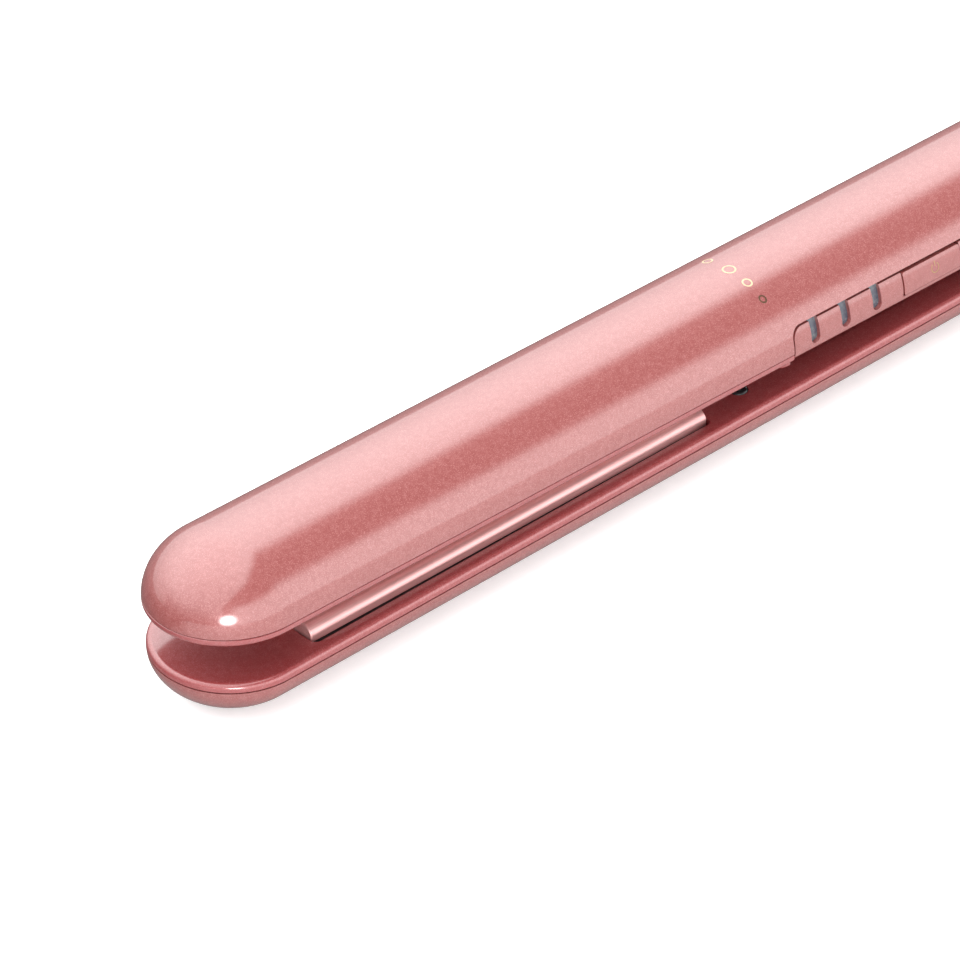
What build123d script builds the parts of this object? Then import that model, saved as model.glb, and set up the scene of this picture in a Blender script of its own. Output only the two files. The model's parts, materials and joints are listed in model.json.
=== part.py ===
from build123d import *
import os

# Hair straightener, millimetres. +X runs from the noses to the handle end, the controls are on -Y, +Z is up.
# A station is a distance from the nose tips along the arms. The origin is the middle of the resting face.
# Each arm is drawn in its own frame: z = 0 is its parting plane and +z goes into its domed shell.

# Driving dimensions of the arms
ORIGIN_STATION = 140.0
ARM_HALF_WIDTH = 16.5
UPPER_DOME = 13.2
LOWER_DOME = 10.1
WALL = 1.8
COVER_RISE = 1.8
COVER_EDGE_RADIUS = 1.2
PARTING_GAP = 8.0
OPENING_ANGLE = 1.1
REST_FLAT_DEPTH = 0.4
UPPER_END = 278.0
LOWER_END = 288.0
SEAM = 0.1

# Heating plates and what floats with them
PLATE_FRONT = 26.5
PLATE_LENGTH = 106.0
PLATE_HALF_WIDTH = 12.0
PLATE_CAP_HEIGHT = 2.1
PLATE_EDGE_WIDTH = 3.2
PLATE_SETBACK = 0.15
PLATE_CLEARANCE = 0.3
LOWER_PLATE_TILT = 0.35
SKIRT_HALF_WIDTH = 10.5
SKIRT_DEPTH = 5.2
CHANNEL_HALF_WIDTH = 7.0
CHANNEL_DEPTH = 1.5
TROUGH_HALF_WIDTH = 14.6
TROUGH_DEPTH = 1.1
TROUGH_END = 9.0
HEATER_LENGTH = 90.0
HEATER_WIDTH = 12.6
HEATER_THICKNESS = 2.2
CLAMP_THICKNESS = 0.6
CARRIER_TOP = 4.7
CARRIER_BOTTOM = 7.7
CARRIER_HALF_WIDTH = 11.4
FLANGE_HALF_WIDTH = 13.3
FLANGE_THICKNESS = 1.0
FLANGE_OVERHANG = 1.0
SPRING_RADIUS = 2.2
SPRING_WIRE = 0.25
SPRING_TURNS = 5
SPRING_STATIONS = (46.0, 113.0)
STIFFENER_OFFSET = 4.5
STIFFENER_RADIUS = 0.3
FUSE_OFFSET = (20.0, 3.0)
FUSE_RADIUS = 0.8
FUSE_LENGTH = 8.0
FUSE_WIRE_RADIUS = 0.3
FUSE_WIRE_LENGTH = 18.0
LEAD_RADIUS = 0.65
LEAD_OFFSET = 5.2
LEAD_BEND = 4.0
LEAD_DIP = 1.2

# Hinge
HINGE_STATION = 262.0
KNUCKLE_RADIUS = 3.8
KNUCKLE_CLEARANCE = 0.3
LOWER_KNUCKLE = (5.0, 9.0)
UPPER_EAR = (9.3, 13.3)
PIN_RADIUS = 1.5
PIN_RUNNING = 0.03
BUSH_RADIUS = 2.3
BUSH_FLANGE = 0.8
CAP_THICKNESS = 1.2
CAP_EDGE_RADIUS = 0.5
SPRING_ROOM_RADIUS = 3.2
TORSION_RADIUS = 2.1
TORSION_WIRE = 0.3
TORSION_PITCH = 0.75
TORSION_TURNS = 6.5
TORSION_LEG = 8.0

# Handle land, screws and bumpers
LAND_START = 148.0
LAND_END = 251.0
LAND_RISE = 1.5
LAND_INSET = 1.1
LAND_CORNER = 4.0
LAND_EDGE_RADIUS = 0.8
SCREW_STATIONS = (139.0, 238.0)
SCREW_RADIUS = 1.1
SCREW_LENGTH = 7.0
SCREW_HEAD_RADIUS = 2.4
SCREW_HEAD_THICKNESS = 0.8
BOSS_RADIUS = 2.9
SCREW_CLEARANCE = 0.2
SCREW_EDGE_RADIUS = 0.3
CROSS_LENGTH = 2.8
CROSS_WIDTH = 0.5
BUMPER_STATION = 144.2
BUMPER_OFFSET = 8.9
BUMPER_RADIUS = 2.0
BUMPER_PROUD = 0.4
BUMPER_SEAT = -0.3
BUMPER_EDGE_RADIUS = 0.8

# Controls on the near side of the upper arm
STRIP_START = 153.0
STRIP_END = 214.0
STRIP_TOP = 4.9
STRIP_RECESS = 0.5
STRIP_THICKNESS = 1.7
STRIP_CORNER = 2.5
STRIP_ROOM = 2.2
SLOT_STATIONS = (158.8, 167.4, 176.2)
SLOT_WIDTH = 2.1
SLOT_BOTTOM = -0.1
BUTTON_START = 183.6
BUTTON_LENGTH = 16.6
BUTTON_BOTTOM = -0.3
BUTTON_GAP = 0.25
BUTTON_RECESS = 0.3
BUTTON_SKIN = 1.2
BUTTON_CORNER = 0.6
BOARD_START = 155.0
BOARD_END = 206.0
BOARD_BOTTOM = 0.8
BOARD_TOP = 7.0
BOARD_FACE = 10.9
BOARD_THICKNESS = 1.2
SWITCH_SIZE = 6.0
SWITCH_DEPTH = 1.6
PLUNGER_RADIUS = 1.0
PLUNGER_PROUD = 1.0
PLUNGER_SUNK = 0.6
SWITCH_BOTTOM = 1.0
SWITCH_AXIS = 2.2
POST_RADIUS = 1.6
RIB_THICKNESS = 3.0
RIB_INNER_FACE = 7.5
LED_WIDTH = 1.6
LED_HEIGHT = 1.2
LED_DEPTH = 0.8
LED_BOTTOM = 2.0
CHIP_START = 168.0
CHIP_LENGTH = 7.0
CHIP_HEIGHT = 4.6
CHIP_DEPTH = 1.4
WINDOW_RECESS = 0.4
GUIDE_BACKING = 0.8

# Swivel cord inlet in the rear cap
GLAND_DEPTH = 4.15
CORD_RADIUS = 3.0
GLAND_NECK_RADIUS = 3.9
GLAND_FLARE_RADIUS = 4.7
GLAND_REACH = 4.5
GLAND_RUNNING = 0.05
RETAINER_RADIUS = 4.4
RETAINER_INNER = 3.4
GROOVE_STATION = 276.0

HALF_GAP = PARTING_GAP / 2
LOWER_SHELL_END = LOWER_END - ARM_HALF_WIDTH
LOWER_PARTING_Z = LOWER_DOME - REST_FLAT_DEPTH
CLOSING_Z = LOWER_PARTING_Z + HALF_GAP
UPPER_PARTING_Z = CLOSING_Z + HALF_GAP
PLATE_REAR = PLATE_FRONT + PLATE_LENGTH
PLATE_MIDDLE = PLATE_FRONT + PLATE_LENGTH / 2
LARGE = 80.0
LOWER_SCREW_FACES = (-COVER_RISE, -COVER_RISE)
UPPER_SCREW_FACES = (-COVER_RISE, -COVER_RISE - LAND_RISE)


def at(station, y=0.0, z=0.0):
    """Place at a station along an arm."""
    return Pos(station - ORIGIN_STATION, y, z)


HINGE = at(HINGE_STATION, 0, CLOSING_Z)
LOWER_ARM = Pos(0, 0, LOWER_PARTING_Z) * Rot(180, 0, 0)
UPPER_ARM = HINGE * Rot(0, OPENING_ANGLE, 0) * HINGE.inverse() * Pos(0, 0, UPPER_PARTING_Z)
LOWER_UNIT_PIVOT = at(PLATE_REAR, 0, CLOSING_Z)
LOWER_UNIT = LOWER_UNIT_PIVOT * Rot(0, LOWER_PLATE_TILT, 0) * LOWER_UNIT_PIVOT.inverse() * LOWER_ARM


def block(start, end, y_low, y_high, z_low, z_high):
    """Box between two stations."""
    box = Box(end - start, y_high - y_low, z_high - z_low)
    return at((start + end) / 2, (y_low + y_high) / 2, (z_low + z_high) / 2) * box


def rod_x(start, end, radius, y=0.0, z=0.0):
    """Round bar along X between two stations."""
    return at((start + end) / 2, y, z) * Rot(0, 90, 0) * Cylinder(radius, end - start)


def rod_y(y_low, y_high, radius, station, z):
    """Round bar along Y."""
    return at(station, (y_low + y_high) / 2, z) * Rot(90, 0, 0) * Cylinder(radius, y_high - y_low)


def rod_z(z_low, z_high, radius, station, y=0.0):
    """Round bar along Z."""
    return at(station, y, (z_low + z_high) / 2) * Cylinder(radius, z_high - z_low)


def mirrored_pair(low, high):
    """The same span on both sides of the middle plane."""
    return [(low, high), (-high, -low)]


def half_barrel(dome, inset, rear, round_tail):
    """Domed half barrel on the parting plane, with a round nose and either a round or a flat tail."""
    half_width = ARM_HALF_WIDTH - inset
    height = dome - inset
    rear_centre = rear - ARM_HALF_WIDTH if round_tail else rear
    ellipse = Ellipse(half_width, height)
    upper_half = Pos(0, height) * Rectangle(4 * half_width, 2 * height)
    quarter = Pos(half_width, height) * Rectangle(2 * half_width, 2 * height)
    body = at(ARM_HALF_WIDTH) * extrude(Plane.YZ * (ellipse & upper_half), rear_centre - ARM_HALF_WIDTH)
    end = revolve(Plane.YZ * (ellipse & quarter), Axis.Z, 180)
    body += at(ARM_HALF_WIDTH) * end
    if round_tail:
        body += at(rear_centre) * Rot(0, 0, 180) * end
    return body


def plan_outline(rear, round_tail):
    """Outline of an arm seen from above: round nose, straight sides and either a round or a flat tail."""
    rear_centre = rear - ARM_HALF_WIDTH if round_tail else rear
    outline = at(ARM_HALF_WIDTH) * Circle(ARM_HALF_WIDTH)
    straight = Rectangle(rear_centre - ARM_HALF_WIDTH, 2 * ARM_HALF_WIDTH)
    outline += at((ARM_HALF_WIDTH + rear_centre) / 2) * straight
    if round_tail:
        outline += at(rear_centre) * Circle(ARM_HALF_WIDTH)
    return outline


def arm_profile(dome, inset):
    """Cross-section of an arm: the dome above the parting plane and the cover below it."""
    half_width = ARM_HALF_WIDTH - inset
    height = dome - inset
    upper_half = Pos(0, height) * Rectangle(4 * half_width, 2 * height)
    edge = Pos(0, -COVER_RISE / 2) * Rectangle(2 * half_width, COVER_RISE)
    edge = fillet(edge.vertices().group_by(Axis.Y)[0], COVER_EDGE_RADIUS)
    return Plane.YZ * ((Ellipse(half_width, height) & upper_half) + edge)


def outer_shell(dome, rear, round_tail, posts):
    """Domed shell whose hollow leaves the screw bosses and the given posts standing."""
    hollow = half_barrel(dome, WALL, rear, round_tail)
    for post in posts:
        hollow -= post
    for station in SCREW_STATIONS:
        hollow -= rod_z(-1, LARGE / 4, BOSS_RADIUS, station)
    shell = half_barrel(dome, 0, rear, round_tail) - hollow
    for station in SCREW_STATIONS:
        shell -= rod_z(-1, SCREW_LENGTH, SCREW_RADIUS, station)
    return shell


def plate_pocket():
    """Opening for the plate and the shallow troughs beside it, with slender elliptical ends."""
    half_length = PLATE_LENGTH / 2 + PLATE_CLEARANCE
    half_width = PLATE_HALF_WIDTH + PLATE_CLEARANCE
    opening = Rectangle(2 * half_length, 2 * half_width)
    trough = opening + Rectangle(2 * (half_length - TROUGH_END), 2 * TROUGH_HALF_WIDTH)
    for x in (half_length - TROUGH_END, TROUGH_END - half_length):
        for y in (half_width, -half_width):
            trough += Pos(x, y) * Ellipse(TROUGH_END, TROUGH_HALF_WIDTH - half_width)
    through = at(PLATE_MIDDLE, 0, -COVER_RISE - 1) * extrude(opening, COVER_RISE + 2)
    shallow = at(PLATE_MIDDLE, 0, -COVER_RISE - 1) * extrude(trough, TROUGH_DEPTH + 1)
    return through + shallow


def screw_holes(outer_faces):
    """Counterbored screw holes through a cover, whose outer face lies at a height for each screw."""
    holes = Part()
    for station, face in zip(SCREW_STATIONS, outer_faces):
        seat = face + SCREW_HEAD_THICKNESS + SCREW_CLEARANCE
        holes += rod_z(face - 1, 1, SCREW_RADIUS + SCREW_CLEARANCE, station)
        holes += rod_z(face - 1, seat, SCREW_HEAD_RADIUS + SCREW_CLEARANCE, station)
    return holes


def knuckles(span):
    """Pair of hinge knuckles that stand on a cover."""
    pair = Part()
    for y_low, y_high in mirrored_pair(*span):
        pair += rod_y(y_low, y_high, KNUCKLE_RADIUS, HINGE_STATION, -HALF_GAP)
        start = HINGE_STATION - KNUCKLE_RADIUS
        end = HINGE_STATION + KNUCKLE_RADIUS
        pair += block(start, end, y_low, y_high, -HALF_GAP, -COVER_RISE / 2)
    return pair


def knuckle_room(span):
    """Space that the other arm's knuckles turn in."""
    room = Part()
    radius = KNUCKLE_RADIUS + KNUCKLE_CLEARANCE
    for y_low, y_high in mirrored_pair(*span):
        low = y_low - KNUCKLE_CLEARANCE
        high = y_high + KNUCKLE_CLEARANCE
        room += rod_y(low, high, radius, HINGE_STATION, -HALF_GAP)
    return room


def spring_room():
    """Space around the torsion spring, its legs and the bush flanges."""
    start = HINGE_STATION - TORSION_LEG - 1
    half_width = LOWER_KNUCKLE[0]
    coil = rod_y(-half_width, half_width, SPRING_ROOM_RADIUS, HINGE_STATION, -HALF_GAP)
    legs = block(start, HINGE_STATION, -half_width, half_width, -HALF_GAP, SPRING_ROOM_RADIUS - HALF_GAP)
    return coil + legs


def cover_plate(rear, round_tail):
    """Flat cover with a rounded outer edge, before anything is cut into it."""
    cover = extrude(plan_outline(rear, round_tail), -COVER_RISE)
    rim = cover.edges().group_by(Axis.Z)[0]
    rim = rim.filter_by(lambda edge: round_tail or edge.center().X < rear - ORIGIN_STATION - SEAM)
    return fillet(rim, COVER_EDGE_RADIUS)


def lower_inner_cover():
    cover = cover_plate(LOWER_SHELL_END, False)
    cover += knuckles(LOWER_KNUCKLE)
    cover -= plate_pocket()
    cover -= screw_holes(LOWER_SCREW_FACES)
    cover -= knuckle_room((UPPER_EAR[0], UPPER_EAR[1] + CAP_THICKNESS))
    cover -= spring_room()
    for y in (BUMPER_OFFSET, -BUMPER_OFFSET):
        cover -= rod_z(-COVER_RISE - 1, BUMPER_SEAT, BUMPER_RADIUS + SEAM / 2, BUMPER_STATION, y)
    for y_low, y_high in mirrored_pair(*LOWER_KNUCKLE):
        cover -= rod_y(y_low - 1, y_high + 1, BUSH_RADIUS, HINGE_STATION, -HALF_GAP)
    return cover


def handle_land():
    """Raised land on the upper cover along the handle."""
    width = 2 * (ARM_HALF_WIDTH - LAND_INSET)
    outline = RectangleRounded(LAND_END - LAND_START, width, LAND_CORNER)
    land = at((LAND_START + LAND_END) / 2, 0, -COVER_RISE / 2) * extrude(outline, -LAND_RISE - COVER_RISE / 2)
    return fillet(land.edges().group_by(Axis.Z)[0], LAND_EDGE_RADIUS)


def upper_inner_cover():
    cover = cover_plate(UPPER_END, True)
    cover += handle_land()
    cover += knuckles(UPPER_EAR)
    cover -= plate_pocket()
    cover -= screw_holes(UPPER_SCREW_FACES)
    cover -= knuckle_room(LOWER_KNUCKLE)
    for y_low, y_high in mirrored_pair(UPPER_EAR[1], UPPER_EAR[1] + CAP_THICKNESS + SEAM):
        cover -= rod_y(y_low, y_high, KNUCKLE_RADIUS + SEAM / 2, HINGE_STATION, -HALF_GAP)
    cover -= spring_room()
    for y_low, y_high in mirrored_pair(*UPPER_EAR):
        cover -= rod_y(y_low - 1, y_high + 1, PIN_RADIUS, HINGE_STATION, -HALF_GAP)
    return cover - strip_opening(SEAM)


def board_ribs():
    """Two slotted ribs that hold the ends of the circuit board."""
    slot_face = -BOARD_FACE - SEAM
    slot_back = slot_face + BOARD_THICKNESS + 2 * SEAM
    slot_top = BOARD_TOP + SEAM
    slot = block(BOARD_START - SEAM, BOARD_END + SEAM, slot_face, slot_back, 0, slot_top)
    ribs = []
    for station in (BOARD_START, BOARD_END):
        start = station - RIB_THICKNESS / 2
        end = station + RIB_THICKNESS / 2
        ribs.append(block(start, end, -LARGE, -RIB_INNER_FACE, BOARD_BOTTOM, LARGE) - slot)
    return ribs


def upper_outer_shell():
    posts = board_ribs()
    for station in SPRING_STATIONS:
        posts.append(rod_z(LOWER_DOME - WALL, LARGE / 4, SPRING_RADIUS + 1, station))
    shell = outer_shell(UPPER_DOME, UPPER_END, True, posts)
    return shell - strip_opening(SEAM)


def lower_outer_shell():
    shell = outer_shell(LOWER_DOME, LOWER_SHELL_END, False, [])
    return shell - resting_cut()


def resting_cut():
    """What is left off the lower dome so that it rests flat."""
    return block(0, LOWER_END + 1, -LARGE, LARGE, LOWER_DOME - REST_FLAT_DEPTH, LARGE)


def side_window(start, end, low, high, corner):
    """Tool through the near side of the upper arm, with rounded upper corners."""
    outline = Rectangle(end - start, high - low)
    if corner:
        outline = fillet(outline.vertices().group_by(Axis.Y)[-1], corner)
    tool = extrude(Plane.XZ * outline, ARM_HALF_WIDTH)
    return at((start + end) / 2, -ARM_HALF_WIDTH / 2 - 1, (low + high) / 2) * tool


def near_skin(outer_inset, thickness, start, end):
    """Curved skin that follows the side of the upper arm."""
    outer = extrude(arm_profile(UPPER_DOME, outer_inset), end - start)
    inner = extrude(arm_profile(UPPER_DOME, outer_inset + thickness), end - start)
    near_half = block(start - 1, end + 1, -LARGE, -ARM_HALF_WIDTH / 2, -LARGE, LARGE)
    return (at(start) * (outer - inner)) & near_half


def strip_opening(gap):
    """Opening for the control strip in the upper shell and cover."""
    low = -COVER_RISE - LAND_RISE
    depth = -ARM_HALF_WIDTH + STRIP_RECESS + STRIP_THICKNESS + STRIP_ROOM
    window = side_window(STRIP_START - gap, STRIP_END + gap, low, STRIP_TOP + gap, STRIP_CORNER)
    return window & block(STRIP_START - 1, STRIP_END + 1, -LARGE, depth, low, LARGE)


def slot_tool(station, half_width):
    """Slot with a round lower end."""
    end_centre = SLOT_BOTTOM + SLOT_WIDTH / 2
    body = side_window(station - half_width, station + half_width, end_centre, STRIP_TOP + 1, 0)
    low_end = rod_y(-LARGE / 2, -ARM_HALF_WIDTH / 2, half_width, station, end_centre)
    return body + low_end


def control_strip():
    """Trim strip with three slots and an opening for the power button."""
    strip = near_skin(STRIP_RECESS, STRIP_THICKNESS, STRIP_START, STRIP_END)
    strip &= side_window(STRIP_START, STRIP_END, -COVER_RISE, STRIP_TOP, STRIP_CORNER)
    for station in SLOT_STATIONS:
        strip -= slot_tool(station, SLOT_WIDTH / 2)
    button_end = BUTTON_START + BUTTON_LENGTH
    return strip - side_window(BUTTON_START, button_end, BUTTON_BOTTOM, STRIP_TOP + 1, 0)


def light_guide():
    """Three window bars on a backing bar behind the strip."""
    first = SLOT_STATIONS[0] - SLOT_WIDTH
    last = SLOT_STATIONS[-1] + SLOT_WIDTH
    bars = near_skin(STRIP_RECESS + WINDOW_RECESS, STRIP_THICKNESS - WINDOW_RECESS + SEAM, first, last)
    bars &= side_window(first, last, -COVER_RISE, STRIP_TOP, 0)
    windows = Part()
    for station in SLOT_STATIONS:
        windows += slot_tool(station, SLOT_WIDTH / 2 - SEAM / 4)
    backing = near_skin(STRIP_RECESS + STRIP_THICKNESS + SEAM / 2, GUIDE_BACKING, first, last)
    backing &= side_window(first, last, SLOT_BOTTOM, STRIP_TOP - 3 * SEAM, 0)
    return (bars & windows) + backing


def power_button():
    """Push button that follows the curve of the strip, with a post that reaches the switch."""
    start = BUTTON_START + BUTTON_GAP
    end = BUTTON_START + BUTTON_LENGTH - BUTTON_GAP
    low = BUTTON_BOTTOM + BUTTON_GAP
    high = STRIP_TOP - BUTTON_GAP / 2
    button = near_skin(BUTTON_RECESS, STRIP_THICKNESS, start, end)
    button &= side_window(start, end, low, high, BUTTON_CORNER)
    post_face = -BOARD_FACE - SWITCH_DEPTH - PLUNGER_PROUD
    post = rod_y(-ARM_HALF_WIDTH + BUTTON_SKIN, post_face, POST_RADIUS, (start + end) / 2, SWITCH_AXIS)
    return button + post


def switch_plunger():
    """Plunger that the button's post pushes."""
    station = BUTTON_START + BUTTON_LENGTH / 2
    face = -BOARD_FACE - SWITCH_DEPTH
    return rod_y(face - PLUNGER_PROUD, face + PLUNGER_SUNK, PLUNGER_RADIUS, station, SWITCH_AXIS)


def power_switch():
    """Tactile switch body on the board."""
    station = BUTTON_START + BUTTON_LENGTH / 2
    face = -BOARD_FACE - SWITCH_DEPTH
    half = SWITCH_SIZE / 2
    top = SWITCH_BOTTOM + 0.75 * SWITCH_SIZE
    body = block(station - half, station + half, face, -BOARD_FACE, SWITCH_BOTTOM, top)
    return body - rod_y(face - 1, face + 2 * PLUNGER_SUNK, PLUNGER_RADIUS + SEAM / 2, station, SWITCH_AXIS)


def circuit_board():
    back = -BOARD_FACE + BOARD_THICKNESS
    return block(BOARD_START, BOARD_END, -BOARD_FACE, back, BOARD_BOTTOM, BOARD_TOP)


def indicator_leds():
    """One chip light behind each window."""
    top = LED_BOTTOM + LED_HEIGHT
    half = LED_WIDTH / 2
    face = -BOARD_FACE - LED_DEPTH
    return Compound([block(s - half, s + half, face, -BOARD_FACE, LED_BOTTOM, top) for s in SLOT_STATIONS])


def control_chip():
    """Controller chip on the inner side of the board."""
    back = -BOARD_FACE + BOARD_THICKNESS
    low = (BOARD_BOTTOM + BOARD_TOP - CHIP_HEIGHT) / 2
    return block(CHIP_START, CHIP_START + CHIP_LENGTH, back, back + CHIP_DEPTH, low, low + CHIP_HEIGHT)


def cover_screws(outer_faces):
    """Pan head screws with a cross recess."""
    screws = []
    for station, face in zip(SCREW_STATIONS, outer_faces):
        top = face + SCREW_CLEARANCE
        seat = top + SCREW_HEAD_THICKNESS
        head = rod_z(top, seat, SCREW_HEAD_RADIUS, station)
        head = fillet(head.edges().group_by(Axis.Z)[0], SCREW_EDGE_RADIUS)
        shank = rod_z(seat, SCREW_LENGTH - 2 * SCREW_CLEARANCE, SCREW_RADIUS - SEAM / 4, station)
        cross = at(station, 0, top) * Box(CROSS_LENGTH, CROSS_WIDTH, 2 * CROSS_WIDTH)
        cross += at(station, 0, top) * Box(CROSS_WIDTH, CROSS_LENGTH, 2 * CROSS_WIDTH)
        screws.append((head + shank - cross).solid())
    return Compound(screws)


def inner_bumpers():
    """Domed rubber bumpers set into the lower cover."""
    bumpers = []
    for y in (BUMPER_OFFSET, -BUMPER_OFFSET):
        bumper = rod_z(-COVER_RISE - BUMPER_PROUD, BUMPER_SEAT, BUMPER_RADIUS, BUMPER_STATION, y)
        bumpers.append(fillet(bumper.edges().group_by(Axis.Z)[0], BUMPER_EDGE_RADIUS).solid())
    return Compound(bumpers)


def unit_z(depth):
    """Height in an arm's frame of a depth below the plate's face."""
    return depth - HALF_GAP + PLATE_SETBACK


def heating_plate():
    """Extruded plate: crowned edges, flat cut ends and a skirt with the heater channel."""
    flat_half = PLATE_HALF_WIDTH - PLATE_EDGE_WIDTH
    crown = Rectangle(2 * flat_half, 2 * PLATE_CAP_HEIGHT)
    for y in (flat_half, -flat_half):
        crown += Pos(y, 0) * Ellipse(PLATE_EDGE_WIDTH, PLATE_CAP_HEIGHT)
    crown &= Pos(0, -PLATE_CAP_HEIGHT / 2) * Rectangle(3 * PLATE_HALF_WIDTH, PLATE_CAP_HEIGHT)
    cap = at(PLATE_FRONT, 0, unit_z(PLATE_CAP_HEIGHT)) * extrude(Plane.YZ * crown, PLATE_LENGTH)
    skirt_top = unit_z(PLATE_CAP_HEIGHT - 0.5)
    skirt_low = unit_z(SKIRT_DEPTH)
    start = PLATE_FRONT + 1
    end = PLATE_REAR - 1
    plate = cap + block(start, end, -SKIRT_HALF_WIDTH, SKIRT_HALF_WIDTH, skirt_top, skirt_low)
    channel_top = unit_z(CHANNEL_DEPTH)
    return plate - block(start + 1, end - 1, -CHANNEL_HALF_WIDTH, CHANNEL_HALF_WIDTH, channel_top, LARGE)


def heater():
    """Ceramic heater strip in its insulating film."""
    half = HEATER_LENGTH / 2
    top = unit_z(CHANNEL_DEPTH + 0.05)
    strip = block(PLATE_MIDDLE - half, PLATE_MIDDLE + half, -HEATER_WIDTH / 2, HEATER_WIDTH / 2, top,
                  top + HEATER_THICKNESS)
    return fillet(strip.edges().filter_by(Axis.X), 0.4)


def heater_clamp():
    """Pressed strip that holds the heater against the plate, with stiffening ribs."""
    half = HEATER_LENGTH / 2 + 1
    top = unit_z(CHANNEL_DEPTH + 0.1 + HEATER_THICKNESS)
    clamp = block(PLATE_MIDDLE - half, PLATE_MIDDLE + half, -HEATER_WIDTH / 2, HEATER_WIDTH / 2, top,
                  top + CLAMP_THICKNESS)
    for y in (STIFFENER_OFFSET, -STIFFENER_OFFSET):
        clamp -= rod_x(PLATE_FRONT, PLATE_REAR, STIFFENER_RADIUS, y, top + CLAMP_THICKNESS)
    return clamp


def plate_carrier():
    """Heat resistant tray under the plate. Its flange keeps the plate from leaving the cover."""
    start = PLATE_FRONT - PLATE_CLEARANCE - FLANGE_OVERHANG
    end = PLATE_REAR + PLATE_CLEARANCE + FLANGE_OVERHANG
    top = unit_z(CARRIER_TOP)
    bottom = unit_z(CARRIER_BOTTOM)
    carrier = block(start, end, -FLANGE_HALF_WIDTH, FLANGE_HALF_WIDTH, top, top + FLANGE_THICKNESS)
    carrier += block(start + 2, end - 2, -CARRIER_HALF_WIDTH, CARRIER_HALF_WIDTH, top, bottom)
    skirt = SKIRT_HALF_WIDTH + 0.05
    carrier -= block(PLATE_FRONT + 0.9, PLATE_REAR - 0.9, -skirt, skirt, top - 1, unit_z(SKIRT_DEPTH + 0.05))
    return carrier - block(PLATE_FRONT + 4, PLATE_REAR - 4, -9, 9, top - 1, bottom - 0.9)


def fuse_body(station, y):
    """Axial part with two leads, such as a thermal fuse."""
    depth = unit_z(CARRIER_TOP + FUSE_RADIUS + SEAM)
    half_body = FUSE_LENGTH / 2
    half_wire = FUSE_WIRE_LENGTH / 2
    body = rod_x(station - half_body, station + half_body, FUSE_RADIUS, y, depth)
    return body + rod_x(station - half_wire, station + half_wire, FUSE_WIRE_RADIUS, y, depth)


def plate_springs(top, bottom):
    """Coil springs that push the heating unit towards the other arm."""
    springs = []
    for station in SPRING_STATIONS:
        height = bottom - top - 2 * SPRING_WIRE
        path = Helix(pitch=height / SPRING_TURNS, height=height, radius=SPRING_RADIUS)
        section = Plane(origin=path @ 0, z_dir=path % 0) * Circle(SPRING_WIRE)
        coil = sweep(section, path=path)
        springs.append((at(station, 0, top + SPRING_WIRE) * coil).solid())
    return Compound(springs)


def leads(start, end, depth):
    """Pair of insulated wires that run along the inside of an arm and bend under the heater's end."""
    wires = []
    for y in (LEAD_OFFSET, -LEAD_OFFSET):
        high = depth + LEAD_DIP
        points = [(start, y, high), (start + 3, y, high), (start + 8, y, depth), (end, y, depth)]
        route = FilletPolyline(*[(s - ORIGIN_STATION, py, pz) for s, py, pz in points], radius=LEAD_BEND)
        section = Plane(origin=route @ 0, z_dir=route % 0) * Circle(LEAD_RADIUS)
        wires.append(sweep(section, path=route).solid())
    return Compound(wires)


def hinge_bushes():
    """Flanged bushes in the lower knuckles, in the lower arm's frame."""
    bushes = []
    for side in (1, -1):
        inner = side * (LOWER_KNUCKLE[0] - BUSH_FLANGE)
        face = side * LOWER_KNUCKLE[0]
        outer = side * LOWER_KNUCKLE[1]
        low, high = sorted((inner, outer))
        bush = rod_y(low, high, BUSH_RADIUS, HINGE_STATION, -HALF_GAP)
        low_flange, high_flange = sorted((inner, face))
        bush += rod_y(low_flange, high_flange, BUSH_RADIUS + 0.7, HINGE_STATION, -HALF_GAP)
        bush -= rod_y(low - 1, high + 1, PIN_RADIUS + PIN_RUNNING, HINGE_STATION, -HALF_GAP)
        bushes.append(bush.solid())
    return Compound(bushes)


def hinge_pin():
    reach = UPPER_EAR[1]
    return rod_y(-reach, reach, PIN_RADIUS, HINGE_STATION, -HALF_GAP)


def hinge_caps():
    """Round caps over the pin's ends."""
    caps = []
    for y_low, y_high in mirrored_pair(UPPER_EAR[1], UPPER_EAR[1] + CAP_THICKNESS):
        cap = rod_y(y_low, y_high, KNUCKLE_RADIUS, HINGE_STATION, -HALF_GAP)
        outer = cap.edges().filter_by(GeomType.CIRCLE).sort_by(lambda edge: abs(edge.center().Y))[-1]
        caps.append(fillet(outer, CAP_EDGE_RADIUS).solid())
    return Compound(caps)


def hinge_spring():
    """Torsion spring around the pin, with one leg along each cover."""
    length = TORSION_PITCH * TORSION_TURNS
    coil = Helix(pitch=TORSION_PITCH, height=length, radius=TORSION_RADIUS)
    first_leg = Line((coil @ 0) - (coil % 0) * TORSION_LEG, coil @ 0)
    second_leg = Line(coil @ 1, (coil @ 1) + (coil % 1) * TORSION_LEG)
    path = Wire([first_leg.edge(), coil.edge(), second_leg.edge()])
    section = Plane(origin=path @ 0, z_dir=path % 0) * Circle(TORSION_WIRE)
    spring = sweep(section, path=path)
    return at(HINGE_STATION, -length / 2, CLOSING_Z) * Rot(0, -90, 0) * Rot(-90, 0, 0) * spring


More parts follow.
